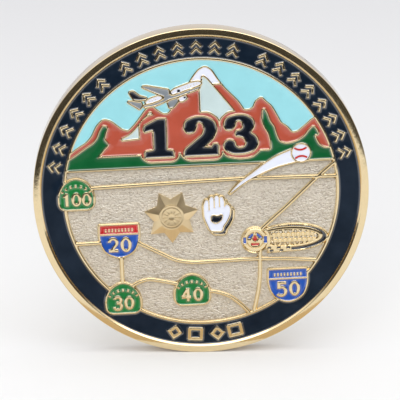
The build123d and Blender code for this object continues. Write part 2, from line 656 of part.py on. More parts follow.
# ---- the enamel: each fill stands on its cell's floor and stops short of the raised lines ----
for name, cell in cells.items():
    with BuildPart() as fill:
        with BuildSketch(obverse.offset(cell_floor)):
            add(cell)
        extrude(amount=enamel_thickness)
    fill.part.label = name
    export_step(fill.part, f"parts/{name}.step")
    print(f"{name}: {len(fill.solids())} pools, {fill.part.volume:.2f} cubic mm")
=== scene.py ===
"""Looks of a two inch challenge coin that stands on its edge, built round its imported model.

The struck face is one heightfield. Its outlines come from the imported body, its raised lines are rounded,
their sides lean down to the sandblasted field, and each enamel fill climbs a little at the wall of its cell.
Flat outlines are worked in millimetres, x to the right and z up, and every mesh is made in metres.
"""

from __future__ import annotations

import json
import logging
import math
from dataclasses import dataclass, field
from enum import Enum

import bmesh
import bpy
import numpy as np
from bpy.types import Material, Mesh, Node, NodeSocket, NodeTree, Object
from mathutils import Matrix, Vector
from mathutils.geometry import delaunay_2d_cdt
from mathutils.kdtree import KDTree

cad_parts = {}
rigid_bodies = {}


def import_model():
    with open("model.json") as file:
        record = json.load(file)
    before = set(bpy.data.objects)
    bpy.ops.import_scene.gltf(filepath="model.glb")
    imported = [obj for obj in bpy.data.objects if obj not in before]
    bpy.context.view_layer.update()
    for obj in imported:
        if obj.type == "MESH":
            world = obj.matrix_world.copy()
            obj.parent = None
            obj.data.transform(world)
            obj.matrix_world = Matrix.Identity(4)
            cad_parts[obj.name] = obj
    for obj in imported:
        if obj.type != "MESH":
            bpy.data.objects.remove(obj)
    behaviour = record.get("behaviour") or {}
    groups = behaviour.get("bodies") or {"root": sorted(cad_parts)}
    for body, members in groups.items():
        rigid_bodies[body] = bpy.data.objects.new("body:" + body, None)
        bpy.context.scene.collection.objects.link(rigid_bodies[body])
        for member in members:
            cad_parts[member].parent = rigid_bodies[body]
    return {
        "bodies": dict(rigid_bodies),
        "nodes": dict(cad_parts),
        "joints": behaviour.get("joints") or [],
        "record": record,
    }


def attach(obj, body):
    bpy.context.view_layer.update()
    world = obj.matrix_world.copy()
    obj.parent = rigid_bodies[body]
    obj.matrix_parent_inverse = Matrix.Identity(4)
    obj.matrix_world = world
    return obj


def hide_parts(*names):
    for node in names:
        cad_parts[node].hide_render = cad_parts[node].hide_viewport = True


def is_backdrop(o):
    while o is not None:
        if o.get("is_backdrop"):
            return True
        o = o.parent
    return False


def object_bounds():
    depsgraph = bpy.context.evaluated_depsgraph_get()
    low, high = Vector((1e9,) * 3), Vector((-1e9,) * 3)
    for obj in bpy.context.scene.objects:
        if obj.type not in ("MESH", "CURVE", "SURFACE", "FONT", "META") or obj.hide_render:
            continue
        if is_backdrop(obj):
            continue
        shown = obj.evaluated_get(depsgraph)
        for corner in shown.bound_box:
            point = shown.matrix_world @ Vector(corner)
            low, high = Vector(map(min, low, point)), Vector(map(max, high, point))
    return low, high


log = logging.getLogger("coin")
MM = 0.001  # one millimetre in metres
BODY = "root"  # the coin's only body
GOLD = "gold_plate"  # slot of the struck metal
STRUCK = "coin_body"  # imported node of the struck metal
WELD = 1e-6  # points this near are merged, in metres
ON_LEVEL = 2e-6  # a point this near lies on a level, in metres
MATCH = 0.002  # outlines this near are the same, in millimetres
RING_OUTER = 24.15  # radius of the outer wall of the navy ring's cell, in millimetres

Point = tuple[float, float]
Colour = tuple[float, float, float, float]


class Drop(Enum):
    """What a raised line falls to along one of its outlines."""

    ENAMEL = "enamel"
    FIELD = "field"
    POOL = "pool"


@dataclass(frozen=True)
class Levels:
    """Distances from the coin's middle plane, in millimetres, each towards its own face."""

    land: float = 1.55
    enamel: float = 1.43
    pool: float = 1.41
    field: float = 1.20
    cell_floor: float = 1.10
    reverse_field: float = 1.30
    reverse_relief: float = 1.60
    seat: float = 0.30


LEVELS = Levels()


@dataclass(frozen=True)
class LineShape:
    """Section of a raised line beside one kind of drop, in millimetres; the last three are plain shares."""

    round_width: float
    round_drop: float
    side_width: float
    land_rows: tuple[float, ...]
    side_rows: tuple[float, ...]
    side_power: float = 1.8
    blast_from: float = 0.7
    blast_over: float = 0.35

    def rounding(self, distance: float) -> float:
        """How far the top has dropped at this distance inside the outline."""
        if distance >= self.round_width:
            return 0.0
        return self.round_drop * (1.0 - math.sqrt(1.0 - (1.0 - distance / self.round_width) ** 2))

    def side(self, distance: np.ndarray, floor: float) -> np.ndarray:
        """Heights at these distances outside the outline, where the side leans down to a floor."""
        share = np.clip(distance / self.side_width, 0.0, 1.0)
        return floor + (LEVELS.land - self.round_drop - floor) * (1.0 - share) ** self.side_power

    def blasting(self, distance: np.ndarray) -> np.ndarray:
        """How sandblasted the metal is at these distances outside the outline, from 0 to 1."""
        beyond = distance - self.blast_from * self.side_width
        return np.clip(beyond / (self.blast_over * self.side_width), 0, 1)


SHAPES = {
    Drop.ENAMEL: LineShape(0.12, 0.075, 0.0, (0.022, 0.055, 0.105), (0.035, 0.08, 0.14, 0.23, 0.36)),
    Drop.FIELD: LineShape(0.17, 0.11, 0.16, (0.02, 0.05, 0.09, 0.13, 0.165),
                          (0.03, 0.065, 0.11, 0.165, 0.25)),
    Drop.POOL: LineShape(0.06, 0.04, 0.07, (0.03,), (0.035, 0.07)),
}


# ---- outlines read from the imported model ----
@dataclass
class Contour:
    """A closed outline with its region on the left, as points in millimetres."""

    points: np.ndarray
    corners: np.ndarray
    drop: Drop


def merged_mesh(node: Object) -> tuple[np.ndarray, np.ndarray]:
    """Reads a node's triangles with their doubles merged.

    Args:
        node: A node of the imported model.

    Returns:
        Corner points in metres, and triangles as rows of three indexes.
    """
    work = bmesh.new()
    work.from_mesh(node.data)
    bmesh.ops.remove_doubles(work, verts=work.verts, dist=WELD)
    bmesh.ops.triangulate(work, faces=work.faces)
    work.verts.index_update()
    points = np.array([vertex.co[:] for vertex in work.verts])
    triangles = np.array([[vertex.index for vertex in face.verts] for face in work.faces])
    work.free()
    return points, triangles


def flat_outlines(points: np.ndarray, triangles: np.ndarray, level: float) -> list[np.ndarray]:
    """Finds the outlines of the obverse's flat faces at one level.

    Args:
        points: Corner points in metres.
        triangles: Triangles over them.
        level: Height above the middle plane, in millimetres.

    Returns:
        Closed outlines in millimetres, each with its face on the left.
    """
    flat = np.all(np.abs(points[triangles][:, :, 1] + level * MM) < ON_LEVEL, axis=1)
    following: dict[int, list[int]] = {}
    for one, two, three in triangles[flat]:
        for start, end in ((one, two), (two, three), (three, one)):
            if start in following.get(end, ()):
                following[end].remove(start)
            else:
                following.setdefault(start, []).append(end)
    outlines = []
    for first in list(following):
        while following[first]:
            loop = [first]
            here = following[first].pop()
            while here != first:
                loop.append(here)
                here = following[here].pop()
            outlines.append(points[loop][:, [0, 2]] / MM)
    return outlines


def smooth_outline(rough: np.ndarray, drop: Drop, corner: float = 36.0, bend: float = 10.0,
                   longest: float = 0.4, shortest: float = 0.004, uneven: float = 2.2) -> Contour:
    """Turns an outline of short chords into a finer, smoothly curved one.

    Args:
        rough: Closed outline in millimetres.
        drop: What lies beyond the outline.
        corner: Turn, in degrees, from which a point stays sharp.
        bend: Largest turn between two new points, in degrees.
        longest: Longest step between two new points.
        shortest: Chords below this are left out.
        uneven: How many times longer than its neighbour a chord has to be to set the direction alone.

    Returns:
        The finer outline, with its sharp points marked.
    """
    apart = np.linalg.norm(rough - np.roll(rough, 1, 0), axis=1)
    rough = rough[apart > shortest]
    step = np.roll(rough, -1, 0) - rough
    length = np.linalg.norm(step, axis=1)
    ahead = step / length[:, None]
    behind = np.roll(ahead, 1, 0)
    before = np.roll(length, 1)
    turn = np.degrees(np.arccos(np.clip((ahead * behind).sum(1), -1.0, 1.0)))
    sharp = turn > corner
    tangent = behind * length[:, None] + ahead * before[:, None]
    tangent = np.where((before > uneven * length)[:, None], behind, tangent)
    tangent = np.where((length > uneven * before)[:, None], ahead, tangent)
    tangent /= np.linalg.norm(tangent, axis=1)[:, None]
    leaving = np.where(sharp[:, None], ahead, tangent)
    arriving = np.roll(np.where(sharp[:, None], behind, tangent), -1, 0)
    points, corners = [], []
    for index, start in enumerate(rough):
        end = start + step[index]
        swing = math.degrees(math.acos(max(-1.0, min(1.0, float(leaving[index] @ arriving[index])))))
        count = max(1, math.ceil(length[index] / longest), math.ceil(swing / bend))
        for number in range(count):
            share = number / count
            square, cube = share * share, share * share * share
            points.append((2 * cube - 3 * square + 1) * start + (3 * square - 2 * cube) * end
                          + (cube - 2 * square + share) * length[index] * leaving[index]
                          + (cube - square) * length[index] * arriving[index])
            corners.append(bool(sharp[index]) and number == 0)
    return Contour(np.array(points), np.array(corners), drop)


def circle_outline(radius: float, count: int, drop: Drop) -> Contour:
    """A round outline about the coin's middle, in millimetres."""
    angle = np.arange(count) * 2 * math.pi / count
    centre_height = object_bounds()[1].z / 2 / MM
    points = np.stack([radius * np.cos(angle), centre_height + radius * np.sin(angle)], 1)
    return Contour(points, np.zeros(count, bool), drop)


def tree_of(points: np.ndarray) -> KDTree:
    """A search tree over flat points."""
    tree = KDTree(len(points))
    for index, (x, z) in enumerate(points):
        tree.insert((x, z, 0.0), index)
    tree.balance()
    return tree


def beaded(contours: list[Contour], step: float = 0.02) -> np.ndarray:
    """Points close together along outlines, to measure distances from."""
    beads = [np.zeros((0, 2))]
    for contour in contours:
        ends = np.roll(contour.points, -1, 0)
        for start, end in zip(contour.points, ends):
            count = max(1, math.ceil(np.linalg.norm(end - start) / step))
            share = np.arange(count)[:, None] / count
            beads.append(start + (end - start) * share)
    return np.concatenate(beads)


@dataclass
class PointNet:
    """Free points of a triangulation, kept a least distance apart, in millimetres and radians."""

    cell: float = 0.1
    fan_step: float = 0.5
    sharpest: float = 2.4
    clear_share: float = 0.96
    gap_share: float = 0.45
    least_gap: float = 0.004
    points: list[Point] = field(default_factory=list)
    buckets: dict[tuple[int, int], list[Point]] = field(default_factory=dict)

    def add(self, x: float, z: float, gap: float) -> None:
        """Adds a point unless another one is nearer than the gap, which is at most one cell."""
        column, row = math.floor(x / self.cell), math.floor(z / self.cell)
        for near_column in (column - 1, column, column + 1):
            for near_row in (row - 1, row, row + 1):
                for other_x, other_z in self.buckets.get((near_column, near_row), ()):
                    if (x - other_x) ** 2 + (z - other_z) ** 2 < gap * gap:
                        return
        self.buckets.setdefault((column, row), []).append((x, z))
        self.points.append((x, z))

    def add_row(self, contour: Contour, left: bool, distance: float, fence: KDTree) -> None:
        """Adds a row of points beside an outline.

        Args:
            contour: The outline.
            left: Whether the row lies on the outline's left.
            distance: How far from the outline the row lies.
            fence: Points along every outline, which the row keeps away from.
        """
        points, corners = contour.points, contour.corners
        if not left:
            points, corners = points[::-1], corners[::-1]
        step = np.roll(points, -1, 0) - points
        heading = np.arctan2(step[:, 1], step[:, 0])
        before = np.roll(heading, 1)
        turn = (heading - before + math.pi) % (2 * math.pi) - math.pi
        for index, (x, z) in enumerate(points):
            if corners[index] and turn[index] < 0:
                fan = max(1, math.ceil(-turn[index] / self.fan_step))
                headings = [before[index] + turn[index] * part / fan for part in range(fan + 1)]
                reach = distance
            else:
                headings = [before[index] + turn[index] / 2]
                reach = distance / math.cos(min(abs(turn[index]), self.sharpest) / 2)
            for angle in headings:
                place = (x - math.sin(angle) * reach, z + math.cos(angle) * reach)
                if fence.find((*place, 0.0))[2] > self.clear_share * distance:
                    self.add(*place, min(self.gap_share * distance + self.least_gap, self.cell))


class Region(Enum):
    """What a triangle of the struck face belongs to."""

    OUTSIDE = 0
    LAND = 1
    FIELD = 2
    POOL = 3
    ENAMEL = 4


BEYOND = {Drop.ENAMEL: Region.ENAMEL, Drop.FIELD: Region.FIELD, Drop.POOL: Region.POOL}


@dataclass
class FlatMesh:
    """A flat triangulation whose triangles know their region and their pool."""

    points: np.ndarray
    triangles: np.ndarray
    regions: np.ndarray
    pools: np.ndarray
    rims: list[tuple[int, int, Drop]]


def triangulate(contours: list[Contour], outer: Contour, free: list[Point]) -> FlatMesh:
    """Triangulates the struck face inside its outer circle.

    Args:
        contours: Outlines of the raised lines, each with metal on its left.
        outer: The outer circle, with enamel on its left.
        free: Points between the outlines.

    Returns:
        The triangles, each with its region and the number of the connected patch that it lies in.
    """
    points: list[Point] = []
    edges: list[tuple[int, int]] = []
    sides: list[tuple[Region, Region, Drop]] = []
    for contour in [*contours, outer]:
        first, count = len(points), len(contour.points)
        points.extend(map(tuple, contour.points))
        edges.extend((first + number, first + (number + 1) % count) for number in range(count))
        if contour is outer:
            sides.extend([(Region.ENAMEL, Region.OUTSIDE, Drop.ENAMEL)] * count)
        else:
            sides.extend([(Region.LAND, BEYOND[contour.drop], contour.drop)] * count)
    found = delaunay_2d_cdt([Vector(point) for point in [*points, *free]], edges, [], 0, WELD)
    flat = np.array([point[:] for point in found[0]])
    triangles = np.array(found[2])
    fences: dict[tuple[int, int], int] = {}
    for (start, end), origins in zip(found[1], found[4]):
        if origins:
            source = edges[origins[0]]
            along = np.subtract(points[source[1]], points[source[0]])
            if float((flat[end] - flat[start]) @ along) < 0:
                start, end = end, start
            fences[(start, end)] = origins[0]
    beside: dict[tuple[int, int], int] = {}
    for number, (one, two, three) in enumerate(triangles.tolist()):
        beside[(one, two)] = beside[(two, three)] = beside[(three, one)] = number
    regions = np.full(len(triangles), Region.OUTSIDE.value)
    pools = np.full(len(triangles), -1)
    patch = 0
    rims = []
    corner_list = triangles.tolist()
    for (start, end), origin in fences.items():
        left, right, drop = sides[origin]
        rims.append((start, end, drop))
        for seed, region in ((beside.get((start, end)), left), (beside.get((end, start)), right)):
            if seed is None or pools[seed] >= 0 or region is Region.OUTSIDE:
                continue
            waiting = [seed]
            pools[seed] = patch
            while waiting:
                number = waiting.pop()
                regions[number] = region.value
                one, two, three = corner_list[number]
                for side in ((one, two), (two, three), (three, one)):
                    if side in fences or (side[1], side[0]) in fences:
                        continue
                    neighbour = beside.get((side[1], side[0]))
                    if neighbour is not None and pools[neighbour] < 0:
                        pools[neighbour] = patch
                        waiting.append(neighbour)
            patch += 1
    return FlatMesh(flat, triangles, regions, pools, rims)


# ---- mesh helpers ----
@dataclass
class Shell:
    """Collects faces over points that are shared by place, then becomes one closed mesh."""

    fineness: float = 1e5
    points: list[tuple[float, float, float]] = field(default_factory=list)
    places: dict[tuple[int, int, int], int] = field(default_factory=dict)
    faces: list[tuple[int, ...]] = field(default_factory=list)
    values: list[float] = field(default_factory=list)

    def point(self, x: float, z: float, height: float, value: float = 0.0) -> int:
        """The index of the point at this place of the face and this height, in millimetres."""
        key = tuple(round(value * self.fineness) for value in (x, z, height))
        if key not in self.places:
            self.places[key] = len(self.points)
            self.points.append((x * MM, -height * MM, z * MM))
            self.values.append(value)
        return self.places[key]

    def face(self, *corners: int) -> None:
        """Adds a face unless two of its corners are one point."""
        if len(set(corners)) == len(corners):
            self.faces.append(corners)

    def finish(self, name: str, material: Material, sharp: float = 40.0,
               attribute: str = "") -> Object:
        """Makes the object, smooth but for its sharp edges, with the values as an attribute."""
        mesh = bpy.data.meshes.new(name)
        mesh.from_pydata(self.points, [], self.faces)
        mesh.validate()
        if attribute:
            mesh.attributes.new(attribute, "FLOAT", "POINT").data.foreach_set("value", self.values)
        return placed(name, mesh, material, sharp)


def placed(name: str, mesh: Mesh, material: Material,
           sharp: float = 180.0) -> Object:
    """Links a finished mesh to the scene as a piece with one material.

    Args:
        name: The piece's name.
        mesh: Its mesh.
        material: Its material.
        sharp: Edges that bend more than this, in degrees, stay sharp.

    Returns:
        The piece.
    """
    mesh.shade_smooth()
    mesh.set_sharp_from_angle(angle=math.radians(sharp))
    mesh.materials.clear()
    mesh.materials.append(material)
    piece = bpy.data.objects.new(name, mesh)
    bpy.context.scene.collection.objects.link(piece)
    return piece


def outward(mesh: Mesh) -> None:
    """Merges doubles and turns every face of a closed mesh outwards."""
    work = bmesh.new()
    work.from_mesh(mesh)
    bmesh.ops.remove_doubles(work, verts=work.verts, dist=WELD)
    bmesh.ops.recalc_face_normals(work, faces=work.faces)
    work.to_mesh(mesh)
    work.free()


def keep(piece: Object, slot: str, *nodes: str) -> Object:
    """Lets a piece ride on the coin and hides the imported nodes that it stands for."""
    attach(piece, BODY)
    if nodes:
        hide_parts(*nodes)
    log.info("%s: %d faces", piece.name, len(piece.data.polygons))
    return piece


# ---- the struck face ----
@dataclass
class FaceMap:
    """The struck face as one map: its outlines, its triangles and the height of every point."""

    ring_steps: int = 384
    grid_step: float = 0.9
    grid_row: float = 0.866
    grid_clearance: float = 0.4
    grid_gap: float = 0.05
    meniscus_rise: float = 0.17
    meniscus_reach: float = 0.20
    enamel_sink: float = 0.13
    outer: Contour = field(init=False)
    trees: dict[Drop, KDTree] = field(init=False)
    flat: FlatMesh = field(init=False)
    floor: FlatMesh = field(init=False)
    owners: dict[int, str] = field(init=False)
    floor_owners: dict[int, str] = field(init=False)
    metal_height: np.ndarray = field(init=False)
    enamel_height: np.ndarray = field(init=False)
    blast: np.ndarray = field(init=False)
    climb: np.ndarray = field(init=False)

    @property
    def outer_start(self) -> int:
        """Where the rims of the outer circle start in the list of rims."""
        return len(self.flat.rims) - len(self.outer.points)

    def read(self, frame: dict) -> None:
        """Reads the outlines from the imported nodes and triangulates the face.
        """
        points, triangles = merged_mesh(frame["nodes"][STRUCK])
        below = {drop: tree_of(np.concatenate(flat_outlines(points, triangles, level)))
                 for drop, level in ((Drop.FIELD, LEVELS.field), (Drop.POOL, LEVELS.pool))}
        contours = []
        for rough in flat_outlines(points, triangles, LEVELS.land):
            found = [drop for drop, tree in below.items() if tree.find((*rough[0], 0.0))[2] < MATCH]
            contours.append(smooth_outline(rough, found[0] if found else Drop.ENAMEL))
        self.outer = circle_outline(RING_OUTER, self.ring_steps, Drop.ENAMEL)
        everything = [*contours, self.outer]
        fence = tree_of(beaded(everything))
        self.trees = {drop: tree_of(beaded([line for line in everything if line.drop is drop]))
                      for drop in Drop}
        self.flat = triangulate(contours, self.outer, self._free_points(everything, fence))
        self.floor = triangulate(contours, self.outer, [])
        self._measure()
        self.owners = self._owners(frame, self.flat)
        self.floor_owners = self._owners(frame, self.floor)

    def _free_points(self, everything: list[Contour], fence: KDTree) -> list[Point]:
        """Rows of points beside every outline, and a wide grid between them."""
        rows = []
        for contour in everything:
            shape = SHAPES[contour.drop]
            if contour is not self.outer:
                rows += [(distance, contour, True) for distance in shape.land_rows]
            rows += [(distance, contour, contour is self.outer) for distance in shape.side_rows]
        rows.sort(key=lambda row: row[0])
        net = PointNet()
        for distance, contour, left in rows:
            net.add_row(contour, left, distance, fence)
        middle = self.outer.points[:, 1].mean()
        count = math.ceil(RING_OUTER / self.grid_step)
        for column in range(-count, count + 1):
            for row in range(-count, count + 1):
                x = (column + 0.5 * (row % 2)) * self.grid_step
                z = row * self.grid_step * self.grid_row
                place = (x, middle + z)
                if math.hypot(x, z) < RING_OUTER and fence.find((*place, 0.0))[2] > self.grid_clearance:
                    net.add(*place, self.grid_gap)
        return net.points

    def _touched(self, region: Region) -> np.ndarray:
        """Which points a region's triangles touch."""
        touched = np.zeros(len(self.flat.points), bool)
        touched[self.flat.triangles[self.flat.regions == region.value].ravel()] = True
        return touched

    def _measure(self) -> None:
        """Works out each point's distances, its height as metal and as enamel, and its blasting."""
        far = {drop: np.array([tree.find((x, z, 0.0))[2] for x, z in self.flat.points])
               for drop, tree in self.trees.items()}
        in_land = self._touched(Region.LAND)
        self.blast = np.zeros(len(in_land))
        self.metal_height = np.full(len(in_land), LEVELS.land)
        for number in np.nonzero(in_land)[0]:
            self.metal_height[number] -= max(SHAPES[drop].rounding(far[drop][number]) for drop in Drop)
        for drop, region, floor in ((Drop.FIELD, Region.FIELD, LEVELS.field),
                                    (Drop.POOL, Region.POOL, LEVELS.pool)):
            inside = self._touched(region) & ~in_land
            self.metal_height[inside] = SHAPES[drop].side(far[drop][inside], floor)
            self.blast[inside] = SHAPES[drop].blasting(far[drop][inside])
        self.climb = np.exp(-far[Drop.ENAMEL] / self.meniscus_reach)
        self.enamel_height = LEVELS.enamel - self.enamel_sink + self.meniscus_rise * self.climb

    def _owners(self, frame: dict, flat: FlatMesh) -> dict[int, str]:
        """Finds which enamel node each patch of enamel belongs to, by the nearest outline."""
        beads, names = [], []
        for name, node in frame["nodes"].items():
            if name.startswith("enamel_"):
                points, triangles = merged_mesh(node)
                rough = [Contour(line, np.zeros(len(line), bool), Drop.ENAMEL)
                         for line in flat_outlines(points, triangles, LEVELS.enamel)]
                beads.append(beaded(rough, 0.05))
                names += [name] * len(beads[-1])
        tree = tree_of(np.concatenate(beads))
        votes: dict[int, dict[str, int]] = {}
        touching: dict[int, set[int]] = {}
        for number in np.nonzero(flat.regions == Region.ENAMEL.value)[0]:
            for corner in flat.triangles[number]:
                touching.setdefault(int(corner), set()).add(int(flat.pools[number]))
        for start, _, drop in flat.rims:
            if drop is Drop.ENAMEL:
                x, z = flat.points[start]
                name = names[tree.find((x, z, 0.0))[1]]
                for pool in touching.get(start, ()):
                    pool_votes = votes.setdefault(pool, {})
                    pool_votes[name] = pool_votes.get(name, 0) + 1
        return {pool: max(found, key=found.get) for pool, found in votes.items()}


@dataclass
class StruckFace:
    """The metal of the obverse: raised lines, cells, the sandblasted field and the pools of the badges."""

    face_map: FaceMap
    material: Material

    def build(self) -> Object:
        """Makes the closed plate that carries the whole struck face."""
        shell = Shell()
        flat, floor = self.face_map.flat, self.face_map.floor
        index = [shell.point(x, z, height, blast) for (x, z), height, blast
                 in zip(flat.points, self.face_map.metal_height, self.face_map.blast)]
        metal = np.isin(flat.regions, [Region.LAND.value, Region.FIELD.value, Region.POOL.value])
        for one, two, three in flat.triangles[metal]:
            shell.face(index[one], index[two], index[three])
        ring = []
        for number, (start, end, drop) in enumerate(flat.rims):
            if drop is not Drop.ENAMEL:
                continue
            low_start = shell.point(*flat.points[start], LEVELS.cell_floor)
            low_end = shell.point(*flat.points[end], LEVELS.cell_floor)
            if number < self.face_map.outer_start:
                shell.face(index[end], index[start], low_start, low_end)
            else:
                ring.append((start, end, low_start, low_end))
        for triangle in floor.triangles[floor.regions == Region.ENAMEL.value]:
            shell.face(*(shell.point(*floor.points[corner], LEVELS.cell_floor) for corner in triangle))
        middle = shell.point(0.0, float(self.face_map.outer.points[:, 1].mean()), LEVELS.seat)
        for start, end, low_start, low_end in ring:
            seat_start = shell.point(*flat.points[start], LEVELS.seat)
            seat_end = shell.point(*flat.points[end], LEVELS.seat)
            shell.face(low_end, low_start, seat_start, seat_end)
            shell.face(seat_end, seat_start, middle)
        return keep(shell.finish("struck_face", self.material, attribute="blast"), GOLD, STRUCK)


@dataclass
class EnamelWork:
    """Every enamel fill: a pool that climbs a little at the wall of its cell."""

    face_map: FaceMap
    finishes: dict[str, Material]

    def build(self, frame: dict) -> None:
        """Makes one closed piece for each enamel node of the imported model.
        """
        flat, floor = self.face_map.flat, self.face_map.floor
        slots = {row["node"]: row["material_slot"] for row in frame["record"]["subparts"]}
        for name in sorted(set(self.face_map.owners.values())):
            shell = Shell()
            over = flat.triangles[self._patches(flat, self.face_map.owners, name)]
            for triangle in over:
                shell.face(*(self._top(shell, corner) for corner in triangle))
            chosen = set(over.ravel().tolist())
            for number, (start, end, drop) in enumerate(flat.rims):
                if drop is Drop.ENAMEL and start in chosen and end in chosen:
                    if number >= self.face_map.outer_start:
                        start, end = end, start
                    low = [shell.point(*flat.points[corner], LEVELS.cell_floor) for corner in (end, start)]
                    shell.face(self._top(shell, start), self._top(shell, end), *low)
            for triangle in floor.triangles[self._patches(floor, self.face_map.floor_owners, name)]:
                shell.face(*(shell.point(*floor.points[corner], LEVELS.cell_floor)
                             for corner in triangle[::-1]))
            slot = slots[name]
            piece = shell.finish(name.replace("enamel_", "fill_"), self.finishes[slot], attribute="climb")
            keep(piece, slot, name)

    @staticmethod
    def _patches(flat: FlatMesh, owners: dict[int, str], name: str) -> np.ndarray:
        """Which triangles lie in the patches that a node owns."""
        return np.isin(flat.pools, [pool for pool, owner in owners.items() if owner == name])

    def _top(self, shell: Shell, corner: int) -> int:
        """The point of a fill's surface over one point of the map."""
        whole = self.face_map
        return shell.point(*whole.flat.points[corner], whole.enamel_height[corner], whole.climb[corner])


# ---- node trees ----
@dataclass
class Graph:
    """Short ways to add nodes to a tree and to link them."""

    tree: NodeTree

    def add(self, kind: str, **settings: object) -> Node:
        """Adds a node and sets its properties."""
        node = self.tree.nodes.new(kind)
        for key, value in settings.items():
            setattr(node, key, value)
        return node

    def feed(self, target: NodeSocket, source: object) -> None:
        """Links a socket to another, or sets its value."""
        if isinstance(source, NodeSocket):
            self.tree.links.new(source, target)
        else:
            target.default_value = source

    def maths(self, operation: str, first: object, second: object = 0.0) -> NodeSocket:
        """One step of arithmetic."""
        node = self.add("ShaderNodeMath", operation=operation)
        self.feed(node.inputs[0], first)
        self.feed(node.inputs[1], second)
        return node.outputs[0]

    def span(self, value: object, low: float, high: float, start: float, end: float) -> NodeSocket:
        """Maps a value from one span to another, and holds it there."""
        node = self.add("ShaderNodeMapRange")
        for socket, source in zip(node.inputs, (value, low, high, start, end)):
            self.feed(socket, source)
        return node.outputs[0]

    def blend(self, factor: object, first: object, second: object, mode: str = "MIX") -> NodeSocket:
        """Mixes two colours."""
        node = self.add("ShaderNodeMix", data_type="RGBA", blend_type=mode)
        self.feed(node.inputs[0], factor)
        self.feed(node.inputs[6], first)
        self.feed(node.inputs[7], second)
        return node.outputs[2]

    def noise(self, where: object, scale: object, detail: float, roughness: float = 0.5) -> NodeSocket:
        """A cloud pattern, its scale in turns a metre."""
        node = self.add("ShaderNodeTexNoise")
        for name, source in (("Vector", where), ("Scale", scale), ("Detail", detail),
                             ("Roughness", roughness)):
            self.feed(node.inputs[name], source)
        return node.outputs["Fac"]

    def attribute(self, name: str) -> NodeSocket:
        """A number that the mesh carries at its points."""
        return self.add("ShaderNodeAttribute", attribute_name=name).outputs["Fac"]

    def shared(self, tree: NodeTree, where: object, scale: float) -> dict[str, NodeSocket]:
        """Adds a shared group with its own pattern scale, and gives its outputs."""
        node = self.add("ShaderNodeGroup", node_tree=tree)
        self.feed(node.inputs[0], where)
        self.feed(node.inputs[1], scale)
        return dict(node.outputs.items())

    def bump(self, shader: Node, height: object, strength: float, distance: float) -> None:
        """Raises a shader's surface by a height pattern."""
        node = self.add("ShaderNodeBump")
        for name, source in (("Height", height), ("Strength", strength), ("Distance", distance)):
            self.feed(node.inputs[name], source)
        self.feed(shader.inputs["Normal"], node.outputs["Normal"])

    def join(self, *links: tuple[Node, str, Node, str]) -> None:
        """Links outputs to inputs, each written as node, output, node, input."""
        for source, leaving, target, entering in links:
            self.feed(target.inputs[entering], source.outputs[leaving])

    def dress(self, made: NodeSocket, metal: NodeSocket, result: NodeSocket) -> None:
        """Makes instances real, gives them a material and hands them out of the tree."""
        real, coat = self.add("GeometryNodeRealizeInstances"), self.add("GeometryNodeSetMaterial")
        self.feed(real.inputs["Geometry"], made)
        self.feed(coat.inputs["Geometry"], real.outputs["Geometry"])
        self.feed(coat.inputs["Material"], metal)
        self.feed(result, coat.outputs["Geometry"])


def new_group(name: str, kind: str, inputs: dict[str, tuple[str, float | None]],
              outputs: dict[str, str]) -> tuple[Graph, Node, Node]:
    """Starts a node group with named sockets.

    Args:
        name: The group's name.
        kind: Its kind of tree.
        inputs: Each input's name, with its type and its value where nothing is linked.
        outputs: Each output's name, with its type.

    Returns:
        The group's graph, its input node and its output node.
    """
    tree = bpy.data.node_groups.new(name, kind)
    for label, (socket_type, value) in inputs.items():
        item = tree.interface.new_socket(name=label, in_out="INPUT", socket_type="NodeSocket" + socket_type)
        if value is not None:
            item.default_value = value
    for label, socket_type in outputs.items():
        tree.interface.new_socket(name=label, in_out="OUTPUT", socket_type="NodeSocket" + socket_type)
    graph = Graph(tree)
    return graph, graph.add("NodeGroupInput"), graph.add("NodeGroupOutput")


def evaluated_piece(name: str, base: Mesh, tree: NodeTree, values: dict[str, object],
                    place: Matrix, material: Material) -> Object:
    """Runs a geometry tree over a base mesh and keeps the plain mesh that it makes.

    Args:
        name: The piece's name.
        base: The mesh that the tree starts from.
        tree: The geometry tree.
        values: The tree's inputs, by name.
        place: Where the made mesh goes.
        material: The piece's material.

    Returns:
        The finished piece, with no modifier on it.
    """
    carrier = bpy.data.objects.new(name + "_carrier", base)
    bpy.context.scene.collection.objects.link(carrier)
    modifier = carrier.modifiers.new("shape", "NODES")
    modifier.node_group = tree
    identifiers = {item.name: item.identifier for item in tree.interface.items_tree}
    for label, value in values.items():
        modifier[identifiers[label]] = value
    graph = bpy.context.evaluated_depsgraph_get()
    mesh = bpy.data.meshes.new_from_object(carrier.evaluated_get(graph))
    bpy.data.objects.remove(carrier)
    mesh.transform(place)
    mesh.name = name
    outward(mesh)
    return placed(name, mesh, material, 35.0)


def turning_tree() -> NodeTree:
    """Geometry nodes that turn a flat section about an axis, by sweeping it along a small circle."""
    graph, given, result = new_group(
        "turned_section", "GeometryNodeTree",
        {"Section": ("Geometry", None), "Segments": ("Int", 512), "Path Radius": ("Float", 0.01),
         "Metal": ("Material", None)}, {"Solid": "Geometry"})
    profile = graph.add("GeometryNodeMeshToCurve")
    path = graph.add("GeometryNodeCurvePrimitiveCircle")
    upright = graph.add("GeometryNodeSetCurveNormal", mode="Z_UP")
    sweep = graph.add("GeometryNodeCurveToMesh")
    weld = graph.add("GeometryNodeMergeByDistance")
    graph.feed(weld.inputs["Distance"], WELD)
    graph.join((given, "Section", profile, "Mesh"), (given, "Segments", path, "Resolution"),
               (given, "Path Radius", path, "Radius"), (path, "Curve", upright, "Curve"),
               (upright, "Curve", sweep, "Curve"), (profile, "Curve", sweep, "Profile Curve"),
               (sweep, "Mesh", weld, "Geometry"))
    graph.dress(weld.outputs["Geometry"], given.outputs["Metal"], result.inputs["Solid"])
    return graph.tree


